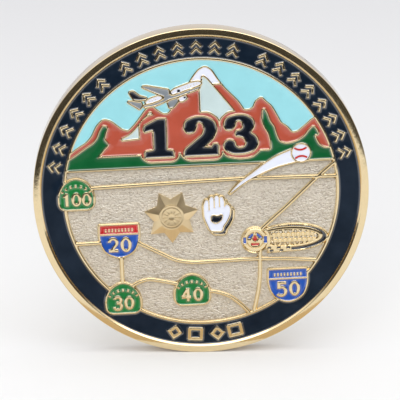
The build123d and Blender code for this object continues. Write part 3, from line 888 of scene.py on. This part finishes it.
def ring_tree() -> NodeTree:
    """Geometry nodes that repeat a small mesh round a circle, each copy turned to face outwards."""
    graph, given, result = new_group(
        "ring_of_copies", "GeometryNodeTree",
        {"Copy": ("Geometry", None), "Count": ("Int", 12), "Radius": ("Float", 0.01),
         "Metal": ("Material", None)}, {"Ring": "Geometry"})
    circle = graph.add("GeometryNodeMeshCircle")
    spread = graph.add("GeometryNodeInstanceOnPoints")
    index = graph.add("GeometryNodeInputIndex")
    share = graph.maths("DIVIDE", index.outputs["Index"], given.outputs["Count"])
    turn = graph.add("ShaderNodeCombineXYZ")
    graph.feed(turn.inputs["Z"], graph.maths("MULTIPLY", share, 2 * math.pi))
    graph.join((given, "Count", circle, "Vertices"), (given, "Radius", circle, "Radius"),
               (circle, "Mesh", spread, "Points"), (given, "Copy", spread, "Instance"),
               (turn, "Vector", spread, "Rotation"))
    graph.dress(spread.outputs["Instances"], given.outputs["Metal"], result.inputs["Ring"])
    return graph.tree


def obverse_place(radius: float) -> Matrix:
    """Takes a mesh drawn flat, Z up, to the obverse side; radius is the coin's, in metres."""
    return Matrix(((1, 0, 0, 0), (0, 0, -1, 0), (0, 1, 0, radius), (0, 0, 0, 1)))


def reverse_place(radius: float) -> Matrix:
    """Takes a mesh drawn flat, Z up, to the reverse side; radius is the coin's, in metres."""
    return Matrix(((-1, 0, 0, 0), (0, 0, 1, 0), (0, 1, 0, radius), (0, 0, 0, 1)))


# ---- shader groups ----
def grain_group() -> NodeTree:
    """Blasted grain: a height for a bump and a mask of dark pits."""
    graph, given, result = new_group("blasted_grain", "ShaderNodeTree",
                                     {"Vector": ("Vector", None), "Pit Size": ("Float", 4200.0)},
                                     {"Height": "Float", "Pits": "Float"})
    stretch = graph.add("ShaderNodeVectorMath", operation="MULTIPLY")
    graph.feed(stretch.inputs[0], given.outputs["Vector"])
    graph.feed(stretch.inputs[1], (0.6, 1.0, 1.0))
    where = stretch.outputs["Vector"]
    fine = graph.noise(where, given.outputs["Pit Size"], 3.0, 0.65)
    coarse = graph.noise(where, 1900.0, 2.0)
    height = graph.maths("ADD", fine, graph.maths("MULTIPLY", coarse, 0.35))
    graph.feed(result.inputs["Height"], height)
    graph.feed(result.inputs["Pits"], graph.span(height, 0.50, 0.68, 1.0, 0.0))
    return graph.tree


def cloud_group() -> NodeTree:
    """Slow unevenness of a surface: a mask about one half, and a soft height."""
    graph, given, result = new_group("soft_clouds", "ShaderNodeTree",
                                     {"Vector": ("Vector", None), "Spread": ("Float", 160.0)},
                                     {"Mask": "Float", "Height": "Float"})
    wide = graph.noise(given.outputs["Vector"], given.outputs["Spread"], 3.0)
    graph.feed(result.inputs["Mask"], graph.span(wide, 0.3, 0.7, 0.0, 1.0))
    graph.feed(result.inputs["Height"], wide)
    return graph.tree


@dataclass
class ShaderKit:
    """The shader groups that several finishes share, each built once."""

    grain: NodeTree = field(default_factory=grain_group)
    clouds: NodeTree = field(default_factory=cloud_group)


def blank_material(name: str) -> tuple[Material, Graph, Node, NodeSocket]:
    """Makes a material and gives its graph, its shader and its Object coordinates."""
    material = bpy.data.materials.new(name)
    material.use_nodes = True
    graph = Graph(material.node_tree)
    shader = material.node_tree.nodes["Principled BSDF"]
    where = graph.add("ShaderNodeTexCoord").outputs["Object"]
    return material, graph, shader, where


@dataclass(frozen=True)
class GoldFinish:
    """Bright pale gold plating, sandblasted where the blast mask is one.

    Scales are in turns a metre; smear and ripple are how far the polish varies in roughness and in height.
    """

    bright: Colour = (0.84, 0.69, 0.43, 1.0)
    worn: Colour = (0.82, 0.66, 0.39, 1.0)
    blasted: Colour = (0.92, 0.87, 0.78, 1.0)
    pits: Colour = (0.40, 0.32, 0.24, 1.0)
    edge: Colour = (0.80, 0.66, 0.48, 1.0)
    polish: float = 0.07
    matt: float = 0.38
    pit_share: float = 0.45
    smear: float = 0.06
    ripple: float = 0.02
    grain_scale: float = 4400.0
    cloud_scale: float = 260.0
    ripple_scale: float = 1500.0
    bump_depth: float = 0.0003

    def material(self, name: str, kit: ShaderKit) -> Material:
        """Builds the material.

        Args:
            name: The material's name.
            kit: The shared shader groups.

        Returns:
            The material, which reads the blast and edge attributes of its mesh.
        """
        material, graph, shader, where = blank_material(name)
        mask = graph.attribute("blast")
        grain = graph.shared(kit.grain, where, self.grain_scale)
        clouds = graph.shared(kit.clouds, where, self.cloud_scale)
        fine = graph.shared(kit.clouds, where, self.ripple_scale)
        plating = graph.blend(clouds["Mask"], self.worn, self.bright)
        polished = graph.blend(graph.attribute("edge"), plating, self.edge)
        matt = graph.blend(graph.maths("MULTIPLY", grain["Pits"], self.pit_share), self.blasted, self.pits)
        graph.feed(shader.inputs["Base Color"], graph.blend(mask, polished, matt))
        smooth = graph.maths("ADD", graph.maths("MULTIPLY", fine["Mask"], self.smear), self.polish)
        rough = graph.maths("ADD", graph.maths("MULTIPLY", smooth, graph.maths("SUBTRACT", 1.0, mask)),
                            graph.maths("MULTIPLY", mask, self.matt))
        graph.feed(shader.inputs["Roughness"], rough)
        graph.feed(shader.inputs["Metallic"], 1.0)
        height = graph.maths("ADD", graph.maths("MULTIPLY", grain["Height"], mask),
                             graph.maths("MULTIPLY", fine["Height"], self.ripple))
        graph.bump(shader, height, 1.0, self.bump_depth)
        return material


@dataclass(frozen=True)
class EnamelFinish:
    """Glossy cured enamel of one colour, a little cloudy, with a faint waviness."""

    colour: tuple[float, float, float]
    cloud: float = 0.10
    gloss: float = 0.35
    least_rough: float = 0.10
    most_rough: float = 0.17
    coat_share: float = 0.4
    coat_rough: float = 0.05
    coat_index: float = 1.75
    climb_from: float = 0.2
    climb_full: float = 0.6
    lift: float = 0.004
    cloud_scale: float = 330.0
    dust_scale: float = 2600.0
    bump_strength: float = 0.25
    bump_depth: float = 0.00006

    def material(self, name: str, kit: ShaderKit) -> Material:
        """Builds the material.

        Args:
            name: The material's name.
            kit: The shared shader groups.

        Returns:
            The material, which is glossier where its mesh's climb attribute is high.
        """
        material, graph, shader, where = blank_material(name)
        clouds = graph.shared(kit.clouds, where, self.cloud_scale)
        dust = graph.shared(kit.clouds, where, self.dust_scale)
        deep = tuple(channel * (1.0 - self.cloud) for channel in self.colour)
        pale = tuple(channel * (1.0 + self.cloud) + self.lift for channel in self.colour)
        rising = graph.span(graph.attribute("climb"), self.climb_from, self.climb_full, 0.0, 1.0)
        for socket, source in (
                ("Base Color", graph.blend(clouds["Mask"], (*deep, 1.0), (*pale, 1.0))),
                ("Roughness", graph.span(dust["Mask"], 0.0, 1.0, self.least_rough, self.most_rough)),
                ("Specular IOR Level", graph.span(rising, 0.0, 1.0, self.gloss, 1.0)),
                ("Coat Weight", graph.span(rising, 0.0, 1.0, self.coat_share * self.gloss, 1.0)),
                ("Coat IOR", self.coat_index), ("Coat Roughness", self.coat_rough)):
            graph.feed(shader.inputs[socket], source)
        graph.bump(shader, clouds["Height"], self.bump_strength, self.bump_depth)
        return material


def linear(red: int, green: int, blue: int) -> tuple[float, float, float]:
    """A colour written as display values from 0 to 255, as linear light."""
    levels = [value / 255 for value in (red, green, blue)]
    return tuple(level / 12.92 if level <= 0.04045 else ((level + 0.055) / 1.055) ** 2.4 for level in levels)


ENAMELS = {
    "navy_enamel": EnamelFinish(linear(15, 28, 42), 0.18, 0.07),
    "sky_enamel": EnamelFinish(linear(146, 207, 215), 0.03),
    "terracotta_enamel": EnamelFinish(linear(173, 78, 58), 0.06),
    "white_enamel": EnamelFinish(linear(222, 226, 240), 0.03),
    "ice_enamel": EnamelFinish(linear(190, 208, 208), 0.04),
    "green_enamel": EnamelFinish(linear(13, 86, 44), 0.10, 0.10),
    "black_enamel": EnamelFinish(linear(14, 20, 31), 0.15, 0.08),
    "grey_enamel": EnamelFinish(linear(128, 134, 140), 0.06),
    "red_enamel": EnamelFinish(linear(186, 22, 20), 0.08, 0.15),
    "marker_green_enamel": EnamelFinish(linear(18, 110, 50), 0.10, 0.12),
    "blue_enamel": EnamelFinish(linear(24, 76, 166), 0.08, 0.15),
}


# ---- turned and repeated parts of the body ----
def softened(corners: list[tuple[float, float, float]], steps: int = 5) -> list[Point]:
    """Rounds the corners of a section.

    Args:
        corners: Radius from the axis, height and rounding of each corner, in millimetres.
        steps: Points along each rounding.

    Returns:
        Points of the section, in millimetres.
    """
    points = []
    for number, (radius, height, rounding) in enumerate(corners):
        here = np.array((radius, height))
        before = np.array(corners[number - 1][:2]) - here
        after = np.array(corners[(number + 1) % len(corners)][:2]) - here
        if rounding <= 0:
            points.append((radius, height))
            continue
        before, after = before / np.linalg.norm(before), after / np.linalg.norm(after)
        half_angle = math.acos(max(-1.0, min(1.0, float(before @ after)))) / 2
        inward = (before + after) / np.linalg.norm(before + after)
        middle = here + inward * rounding / math.sin(half_angle)
        start = here + before * rounding / math.tan(half_angle) - middle
        end = here + after * rounding / math.tan(half_angle) - middle
        swing = math.atan2(start[0] * end[1] - start[1] * end[0], float(start @ end))
        for step in range(steps + 1):
            angle = swing * step / steps
            turn = np.array(((math.cos(angle), -math.sin(angle)), (math.sin(angle), math.cos(angle))))
            points.append(tuple(middle + turn @ start))
    return points


@dataclass
class CoinBlank:
    """The turned part of the coin: rims, edge, the reverse's field and its ring line.

    Sizes are in millimetres but for the sweep's path radius and the field's depth, which are in metres.
    """

    coin_radius: float
    half: float
    metal: Material
    crest_slope: float = 0.30
    crest_round: float = 0.1
    wall_drop: float = 0.05
    wall_round: float = 0.04
    edge_round: float = 0.13
    rim_side: float = 0.15
    rim_round: float = 0.12
    line_outer: float = 20.93
    line_inner: float = 20.55
    line_side: float = 0.08
    line_round: float = 0.08
    foot_round: float = 0.05
    segments: int = 512
    path_radius: float = 0.01
    field_depth: float = 2e-5

    def build(self) -> Object:
        """Turns the section about the coin's axis with geometry nodes."""
        back, raised = -LEVELS.reverse_field, -LEVELS.reverse_relief
        section = softened([
            (0.0, back, 0.0), (0.0, LEVELS.seat, 0.0), (RING_OUTER, LEVELS.seat, 0.0),
            (RING_OUTER, LEVELS.land - self.wall_drop, self.wall_round),
            (RING_OUTER + self.crest_slope, self.half, self.crest_round),
            (self.coin_radius, self.half, self.edge_round), (self.coin_radius, -self.half, self.edge_round),
            (RING_OUTER, -self.half, self.rim_round), (RING_OUTER - self.rim_side, back, self.rim_round),
            (self.line_outer + self.line_side, back, self.foot_round),
            (self.line_outer, raised, self.line_round), (self.line_inner, raised, self.line_round),
            (self.line_inner - self.line_side, back, self.foot_round),
        ])
        mesh = bpy.data.meshes.new("section")
        count = len(section)
        mesh.from_pydata([(radius * MM - self.path_radius, -height * MM, 0.0) for radius, height in section],
                         [(number, (number + 1) % count) for number in range(count)], [])
        values = {"Segments": self.segments, "Path Radius": self.path_radius, "Metal": self.metal}
        place = obverse_place(self.coin_radius * MM)
        piece = evaluated_piece("coin_blank", mesh, turning_tree(), values, place, self.metal)
        return keep(self._with_blasting(piece), GOLD, STRUCK)

    def _with_blasting(self, piece: Object) -> Object:
        """Marks the reverse's field as sandblasted and the outer edge as paler."""
        blast = piece.data.attributes.new("blast", "FLOAT", "POINT")
        edge = piece.data.attributes.new("edge", "FLOAT", "POINT")
        level, reach, centre = LEVELS.reverse_field * MM, RING_OUTER * MM, self.coin_radius * MM
        for vertex, blast_value, edge_value in zip(piece.data.vertices, blast.data, edge.data):
            radius = math.hypot(vertex.co.x, vertex.co.z - centre)
            blast_value.value = float(abs(vertex.co.y - level) < self.field_depth and radius < reach)
            edge_value.value = float(radius > centre - ON_LEVEL)
        return piece


# foot to top, each level's share of a relief's height and of its inset
DOME = ((0.0, 0.0), (0.55, 0.12), (0.85, 0.45), (1.0, 1.0))
DOME_ROOT = 0.05  # how far a relief reaches below its plane, in millimetres
LEAST_COSINE = 0.3  # limits how far an inset runs out at a sharp corner
STEM = [(-0.15, -1.8), (0.15, -1.8), (0.15, 1.8), (-0.15, 1.8)]
LEAF = [(0.1, -0.9), (0.55, -0.95), (1.0, -0.7), (1.5, -0.1), (1.9, 0.9), (1.4, 0.85), (0.9, 0.6), (0.4, 0.0)]


def domed_mesh(name: str, outline: list[Point], height: float, inset: float) -> Mesh:
    """A low closed relief over a convex or leaf shaped outline: upright foot, sloping shoulder, flat top.

    Args:
        name: The mesh's name.
        outline: Points in millimetres, counter clockwise.
        height: How far it stands up, in millimetres.
        inset: How far the top is drawn in from the foot, in millimetres.

    Returns:
        The mesh in metres, standing on its own plane and reaching a little below it.
    """
    points = np.array(outline)
    step = np.roll(points, -1, 0) - points
    normal = np.stack([-step[:, 1], step[:, 0]], 1)
    normal /= np.linalg.norm(normal, axis=1)[:, None]
    inward = normal + np.roll(normal, 1, 0)
    inward /= np.maximum((inward * np.roll(normal, 1, 0)).sum(1), LEAST_COSINE)[:, None]
    layers = [(height * rise if rise else -DOME_ROOT, inset * share) for rise, share in DOME]
    rings = [points + inward * amount for _, amount in layers]
    count = len(points)
    corners = [(*point, level) for ring, (level, _) in zip(rings, layers) for point in ring]
    last = len(layers) - 1
    faces = [tuple(range(count))[::-1], tuple(last * count + number for number in range(count))]
    for layer in range(last):
        for number in range(count):
            following = (number + 1) % count
            faces.append((layer * count + number, layer * count + following,
                          (layer + 1) * count + following, (layer + 1) * count + number))
    mesh = bpy.data.meshes.new(name)
    mesh.from_pydata([tuple(value * MM for value in corner) for corner in corners], [], faces)
    return mesh


@dataclass
class ReverseWork:
    """The reverse's relief: a ring of bars, a laurel wreath, and a faceted compass rose."""

    coin_radius: float
    metal: Material
    bar_radius: float = 22.54
    bar_count: int = 72
    bar_length: float = 2.1
    bar_width: float = 0.6
    wreath_radius: float = 16.2
    wreath_count: int = 26
    rose_tip: float = 11.0
    rose_valley: float = 3.6
    rose_points: int = 8
    rose_top: float = 0.3
    rose_sharp: float = 4.0
    bar_inset: float = 0.1
    leaf_inset: float = 0.12

    def build(self) -> None:
        """Makes the three reliefs."""
        relief = LEVELS.reverse_relief - LEVELS.reverse_field
        long, wide = self.bar_length / 2, self.bar_width / 2
        corners = [(-long, -wide), (long, -wide), (long, wide), (-long, wide)]
        place = reverse_place(self.coin_radius * MM)
        place.translation.y += LEVELS.reverse_field * MM
        tree = ring_tree()
        for name, copy, count, radius in (
                ("reverse_bars", domed_mesh("bar", corners, relief, self.bar_inset), self.bar_count,
                 self.bar_radius),
                ("reverse_wreath", self._leaf_pair(relief), self.wreath_count, self.wreath_radius)):
            values = {"Count": count, "Radius": radius * MM, "Metal": self.metal}
            keep(evaluated_piece(name, copy, tree, values, place, self.metal), GOLD, STRUCK)
        keep(self._rose(), GOLD, STRUCK)

    def _leaf_pair(self, relief: float) -> Mesh:
        """Two laurel leaves and the piece of stem between them."""
        work = bmesh.new()
        for outline in (STEM, LEAF, [(-x, z) for x, z in LEAF[::-1]]):
            mesh = domed_mesh("leaf", outline, relief, self.leaf_inset)
            work.from_mesh(mesh)
            bpy.data.meshes.remove(mesh)
        joined = bpy.data.meshes.new("leaf_pair")
        work.to_mesh(joined)
        work.free()
        return joined

    def _rose(self) -> Object:
        """The compass rose: facets from a pointed outline up to a smaller one, ridged along its points."""
        middle = self.coin_radius
        low, high = DOME_ROOT - LEVELS.reverse_field, -LEVELS.reverse_relief
        shell = Shell()
        foot, crown = [], []
        for step in range(2 * self.rose_points):
            reach = self.rose_tip if step % 2 == 0 else self.rose_valley
            angle = math.pi / 2 - math.pi * step / self.rose_points
            across, along = reach * math.cos(angle), reach * math.sin(angle)
            for points, share, level in ((foot, 1.0, low), (crown, self.rose_top, high)):
                points.append(shell.point(share * across, middle + share * along, level))
        top, under = shell.point(0.0, middle, high), shell.point(0.0, middle, low)
        count = len(foot)
        for step in range(count):
            following = (step + 1) % count
            shell.face(foot[step], foot[following], crown[following], crown[step])
            shell.face(crown[step], crown[following], top)
            shell.face(foot[following], foot[step], under)
        piece = shell.finish("reverse_rose", self.metal, sharp=self.rose_sharp)
        outward(piece.data)
        return piece


@dataclass
class StarBadge:
    """The seven pointed star and its rayed boss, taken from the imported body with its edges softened."""

    metal: Material
    centre: Point = (-4.65, 21.8)
    reach: float = 4.3
    softness: float = 0.035
    skirt: float = 0.06
    flat_angle: float = math.radians(1.0)
    crisp_angle: float = 0.12

    def build(self, frame: dict) -> Object:
        """Cuts the star out of a copy of the body's mesh and closes it under the field.


        Returns:
            The finished piece.
        """
        points, triangles = merged_mesh(frame["nodes"][STRUCK])
        around = np.hypot(points[:, 0] / MM - self.centre[0], points[:, 2] / MM - self.centre[1])[triangles]
        heights = (-points[:, 1] / MM)[triangles]
        chosen = ((around.max(1) < self.reach) & (heights.min(1) > LEVELS.field - MATCH)
                  & (heights.max(1) > LEVELS.field + MATCH))
        work = bmesh.new()
        made: dict[int, bmesh.types.BMVert] = {}
        for triangle in triangles[chosen].tolist():
            for corner in triangle:
                if corner not in made:
                    made[corner] = work.verts.new(points[corner])
            work.faces.new([made[corner] for corner in triangle])
        rim = [edge for edge in work.edges if edge.is_boundary]
        skirt = bmesh.ops.extrude_edge_only(work, edges=rim)["geom"]
        bmesh.ops.translate(work, verts=[part for part in skirt if isinstance(part, bmesh.types.BMVert)],
                            vec=(0.0, self.skirt * MM, 0.0))
        bmesh.ops.holes_fill(work, edges=[edge for edge in work.edges if edge.is_boundary], sides=0)
        bmesh.ops.recalc_face_normals(work, faces=work.faces)
        bmesh.ops.dissolve_limit(work, angle_limit=self.flat_angle, verts=work.verts, edges=work.edges)
        crisp = [edge for edge in work.edges
                 if len(edge.link_faces) == 2 and edge.calc_face_angle() > self.crisp_angle]
        bmesh.ops.bevel(work, geom=crisp, offset=self.softness * MM, segments=2, profile=0.5, affect="EDGES",
                        clamp_overlap=True)
        bmesh.ops.triangulate(work, faces=work.faces)
        mesh = bpy.data.meshes.new("star_badge")
        work.to_mesh(mesh)
        work.free()
        return keep(placed("star_badge", mesh, self.metal, 30.0), GOLD, STRUCK)


# ---- the studio ----
def grey(value: float) -> Colour:
    """A colour with no hue."""
    return (value, value, value, 1.0)


@dataclass(frozen=True)
class Card:
    """A card on the floor that the camera and plain light don't see, so its colour paints only the metal's
    reflections: its corners in metres, its colour.
    """

    corners: tuple[Point, ...]
    colour: Colour


@dataclass(frozen=True)
class Lamp:
    """A soft lamp: its place from the coin's middle, its size, its watts, and whether gloss sees it."""

    place: tuple[float, float, float]
    size: tuple[float, float]
    power: float
    glossy: bool


CARDS = {
    # painted reflection: a near-black card in front of the coin that only gloss sees, so the metal reflects a
    # dark room where the floor is pale
    "dark_reflection_card": Card(((-1.0, -1.2), (1.0, -1.2), (1.0, -0.13), (0.03, -0.13), (-0.03, -0.096),
                         (-1.0, -0.096)), (0.012, 0.010, 0.008, 1.0)),
    # painted shade: a brown strip just in front of the coin's foot that only gloss sees, so the metal's
    # down-facing walls reflect shade instead of the pale floor
    "foot_shade_strip": Card(((-0.2, -0.02), (0.2, -0.02), (0.2, -0.005), (-0.2, -0.005)),
                         (0.62, 0.50, 0.34, 1.0)),
}
LAMPS = {
    "overhead_softbox": Lamp((0.05, -0.26, 0.75), (1.0, 1.0), 4.4, True),
    "front_fill": Lamp((-0.2, -0.9, 0.35), (0.8, 0.6), 3.2, False),
}


@dataclass
class Studio:
    """Floor, cards, lamps, world and camera, all leaning a little with the table that the coin stands on."""

    middle: Vector
    lean: float = math.radians(2.3)
    azimuth: float = math.radians(-2.02)
    elevation: float = math.radians(15.98)
    distance: float = 0.4
    sight_offset: Point = (-0.00013, -0.00151)
    lens: float = 237.1
    floor_size: float = 1.6
    floor_near: Colour = grey(0.87)
    # painted shade: the floor's colour away from the front, darker than near it
    floor_far_painted_shade: Colour = (0.79, 0.79, 0.80, 1.0)
    floor_shade_fade: float = 0.30
    card_height: float = 0.0005
    room_front: Colour = (0.10, 0.085, 0.07, 1.0)
    room_back: Colour = (0.78, 0.78, 0.79, 1.0)
    ceiling_front: Colour = grey(1.3)
    ceiling_back: Colour = grey(1.6)
    ambient: Colour = (0.62, 0.62, 0.63, 1.0)
    backdrop: Colour = (0.80, 0.80, 0.81, 1.0)
    room_span: Point = (-0.1, 0.5)
    ceiling_span: Point = (-0.35, 0.0)
    height_span: Point = (0.40, 0.66)

    def build(self) -> None:
        """Makes the whole set."""
        self._floor()
        for name, card in CARDS.items():
            self._card(name, card)
        self._world()
        for name, lamp in LAMPS.items():
            self._lamp(name, lamp)
        self._camera()

    def _stand(self, item: Object) -> None:
        """Leans a thing of the studio with the table."""
        turn = Matrix.Rotation(self.lean, 4, "Y")
        item.matrix_world = (Matrix.Translation(self.middle) @ turn @ Matrix.Translation(-self.middle)
                             @ item.matrix_world)

    def _sheet(self, name: str, corners: list[Point], height: float,
               material: Material) -> Object:
        """Lays a flat sheet of the studio at a height over the table."""
        mesh = bpy.data.meshes.new(name)
        mesh.from_pydata([(*corner, height) for corner in corners], [], [tuple(range(len(corners)))])
        sheet = placed(name, mesh, material)
        self._stand(sheet)
        sheet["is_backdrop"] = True
        return sheet

    def _floor(self) -> None:
        """A pale floor with painted shade: its colour darkens a little away from the front, standing in for
        the light falling off there.
        """
        material, graph, shader, where = blank_material("floor_paint_with_shade")
        parts = graph.add("ShaderNodeSeparateXYZ")
        graph.feed(parts.inputs[0], where)
        # painted shade: how far back a point lies sets how much of the darker far tint it gets
        depth = graph.span(parts.outputs["Y"], 0.0, self.floor_shade_fade, 0.0, 1.0)
        graph.feed(shader.inputs["Base Color"], graph.blend(depth, self.floor_near, self.floor_far_painted_shade))
        graph.feed(shader.inputs["Roughness"], 0.9)
        graph.feed(shader.inputs["Specular IOR Level"], 0.0)
        size = self.floor_size
        corners = [(-size, -size), (size, -size), (size, size), (-size, size)]
        self._sheet("studio_floor", corners, 0.0, material)

    def _card(self, name: str, card: Card) -> None:
        """Lays a card that only gloss sees, a painted reflection on the metal."""
        material, graph, shader, _ = blank_material(name + "_paint")
        graph.feed(shader.inputs["Base Color"], card.colour)
        graph.feed(shader.inputs["Roughness"], 1.0)
        sheet = self._sheet(name, list(card.corners), self.card_height, material)
        sheet.visible_camera = False
        sheet.visible_diffuse = False
        sheet.visible_shadow = False

    def _world(self) -> None:
        """A plain pale world; gloss sees a dark room in front, a pale one behind and a bright ceiling."""
        world = bpy.data.worlds.new("studio_world")
        bpy.context.scene.world = world
        world.use_nodes = True
        world.node_tree.nodes.clear()
        graph = Graph(world.node_tree)
        rays, parts = graph.add("ShaderNodeLightPath"), graph.add("ShaderNodeSeparateXYZ")
        graph.feed(parts.inputs[0], graph.add("ShaderNodeTexCoord").outputs["Generated"])
        height, depth = parts.outputs["Z"], parts.outputs["Y"]
        room = graph.blend(graph.span(depth, *self.room_span, 0.0, 1.0), self.room_front, self.room_back)
        ceiling = graph.blend(graph.span(depth, *self.ceiling_span, 0.0, 1.0), self.ceiling_front,
                              self.ceiling_back)
        room = graph.blend(graph.span(height, *self.height_span, 0.0, 1.0), room, ceiling)
        light = graph.blend(rays.outputs["Is Glossy Ray"], self.ambient, room)
        light = graph.blend(rays.outputs["Is Camera Ray"], light, self.backdrop)
        shade, output = graph.add("ShaderNodeBackground"), graph.add("ShaderNodeOutputWorld")
        graph.feed(shade.inputs["Color"], light)
        graph.feed(output.inputs["Surface"], shade.outputs["Background"])

    def _lamp(self, name: str, lamp: Lamp) -> None:
        """Adds a lamp aimed at the coin's middle."""
        data = bpy.data.lights.new(name, "AREA")
        data.shape = "RECTANGLE"
        data.size, data.size_y = lamp.size
        data.energy = lamp.power
        item = bpy.data.objects.new(name, data)
        bpy.context.scene.collection.objects.link(item)
        spot = self.middle + Vector(lamp.place)
        aim = (self.middle - spot).to_track_quat("-Z", "Y")
        item.matrix_world = Matrix.Translation(spot) @ aim.to_matrix().to_4x4()
        item.visible_glossy = lamp.glossy
        self._stand(item)

    def _camera(self) -> None:
        """The camera, a long lens a little above the coin."""
        data = bpy.data.cameras.new("camera")
        data.lens = self.lens
        data.sensor_width = 36.0
        data.clip_start, data.clip_end = 0.01, 10.0
        camera = bpy.data.objects.new("camera", data)
        bpy.context.scene.collection.objects.link(camera)
        level, rise = math.cos(self.elevation), math.sin(self.elevation)
        back = Vector((math.sin(self.azimuth) * level, -math.cos(self.azimuth) * level, rise))
        aim = (-back).to_track_quat("-Z", "Y").to_matrix().to_4x4()
        target = self.middle + aim.to_3x3() @ Vector((*self.sight_offset, 0.0))
        camera.matrix_world = Matrix.Translation(target + back * self.distance) @ aim
        self._stand(camera)
        bpy.context.scene.camera = camera


def main() -> None:
    """Builds the coin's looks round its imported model."""
    logging.basicConfig(level=logging.INFO, format="%(message)s")
    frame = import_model()
    cad_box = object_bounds()
    _, half, coin_radius = (cad_box[1] - cad_box[0]) / 2 / MM
    kit = ShaderKit()
    gold = GoldFinish().material(GOLD, kit)
    enamels = {slot: finish.material(slot, kit) for slot, finish in ENAMELS.items()}
    face_map = FaceMap()
    face_map.read(frame)
    StruckFace(face_map, gold).build()
    EnamelWork(face_map, enamels).build(frame)
    satin = GoldFinish(polish=0.32, bright=(0.92, 0.75, 0.47, 1.0), worn=(0.72, 0.55, 0.31, 1.0))
    StarBadge(satin.material("satin_gold", kit)).build(frame)
    CoinBlank(coin_radius, half, gold).build()
    ReverseWork(coin_radius, gold).build()
    Studio(Vector((0.0, 0.0, coin_radius * MM))).build()
    bpy.context.scene.view_settings.view_transform = "Standard"


if __name__ == "__main__":
    main()
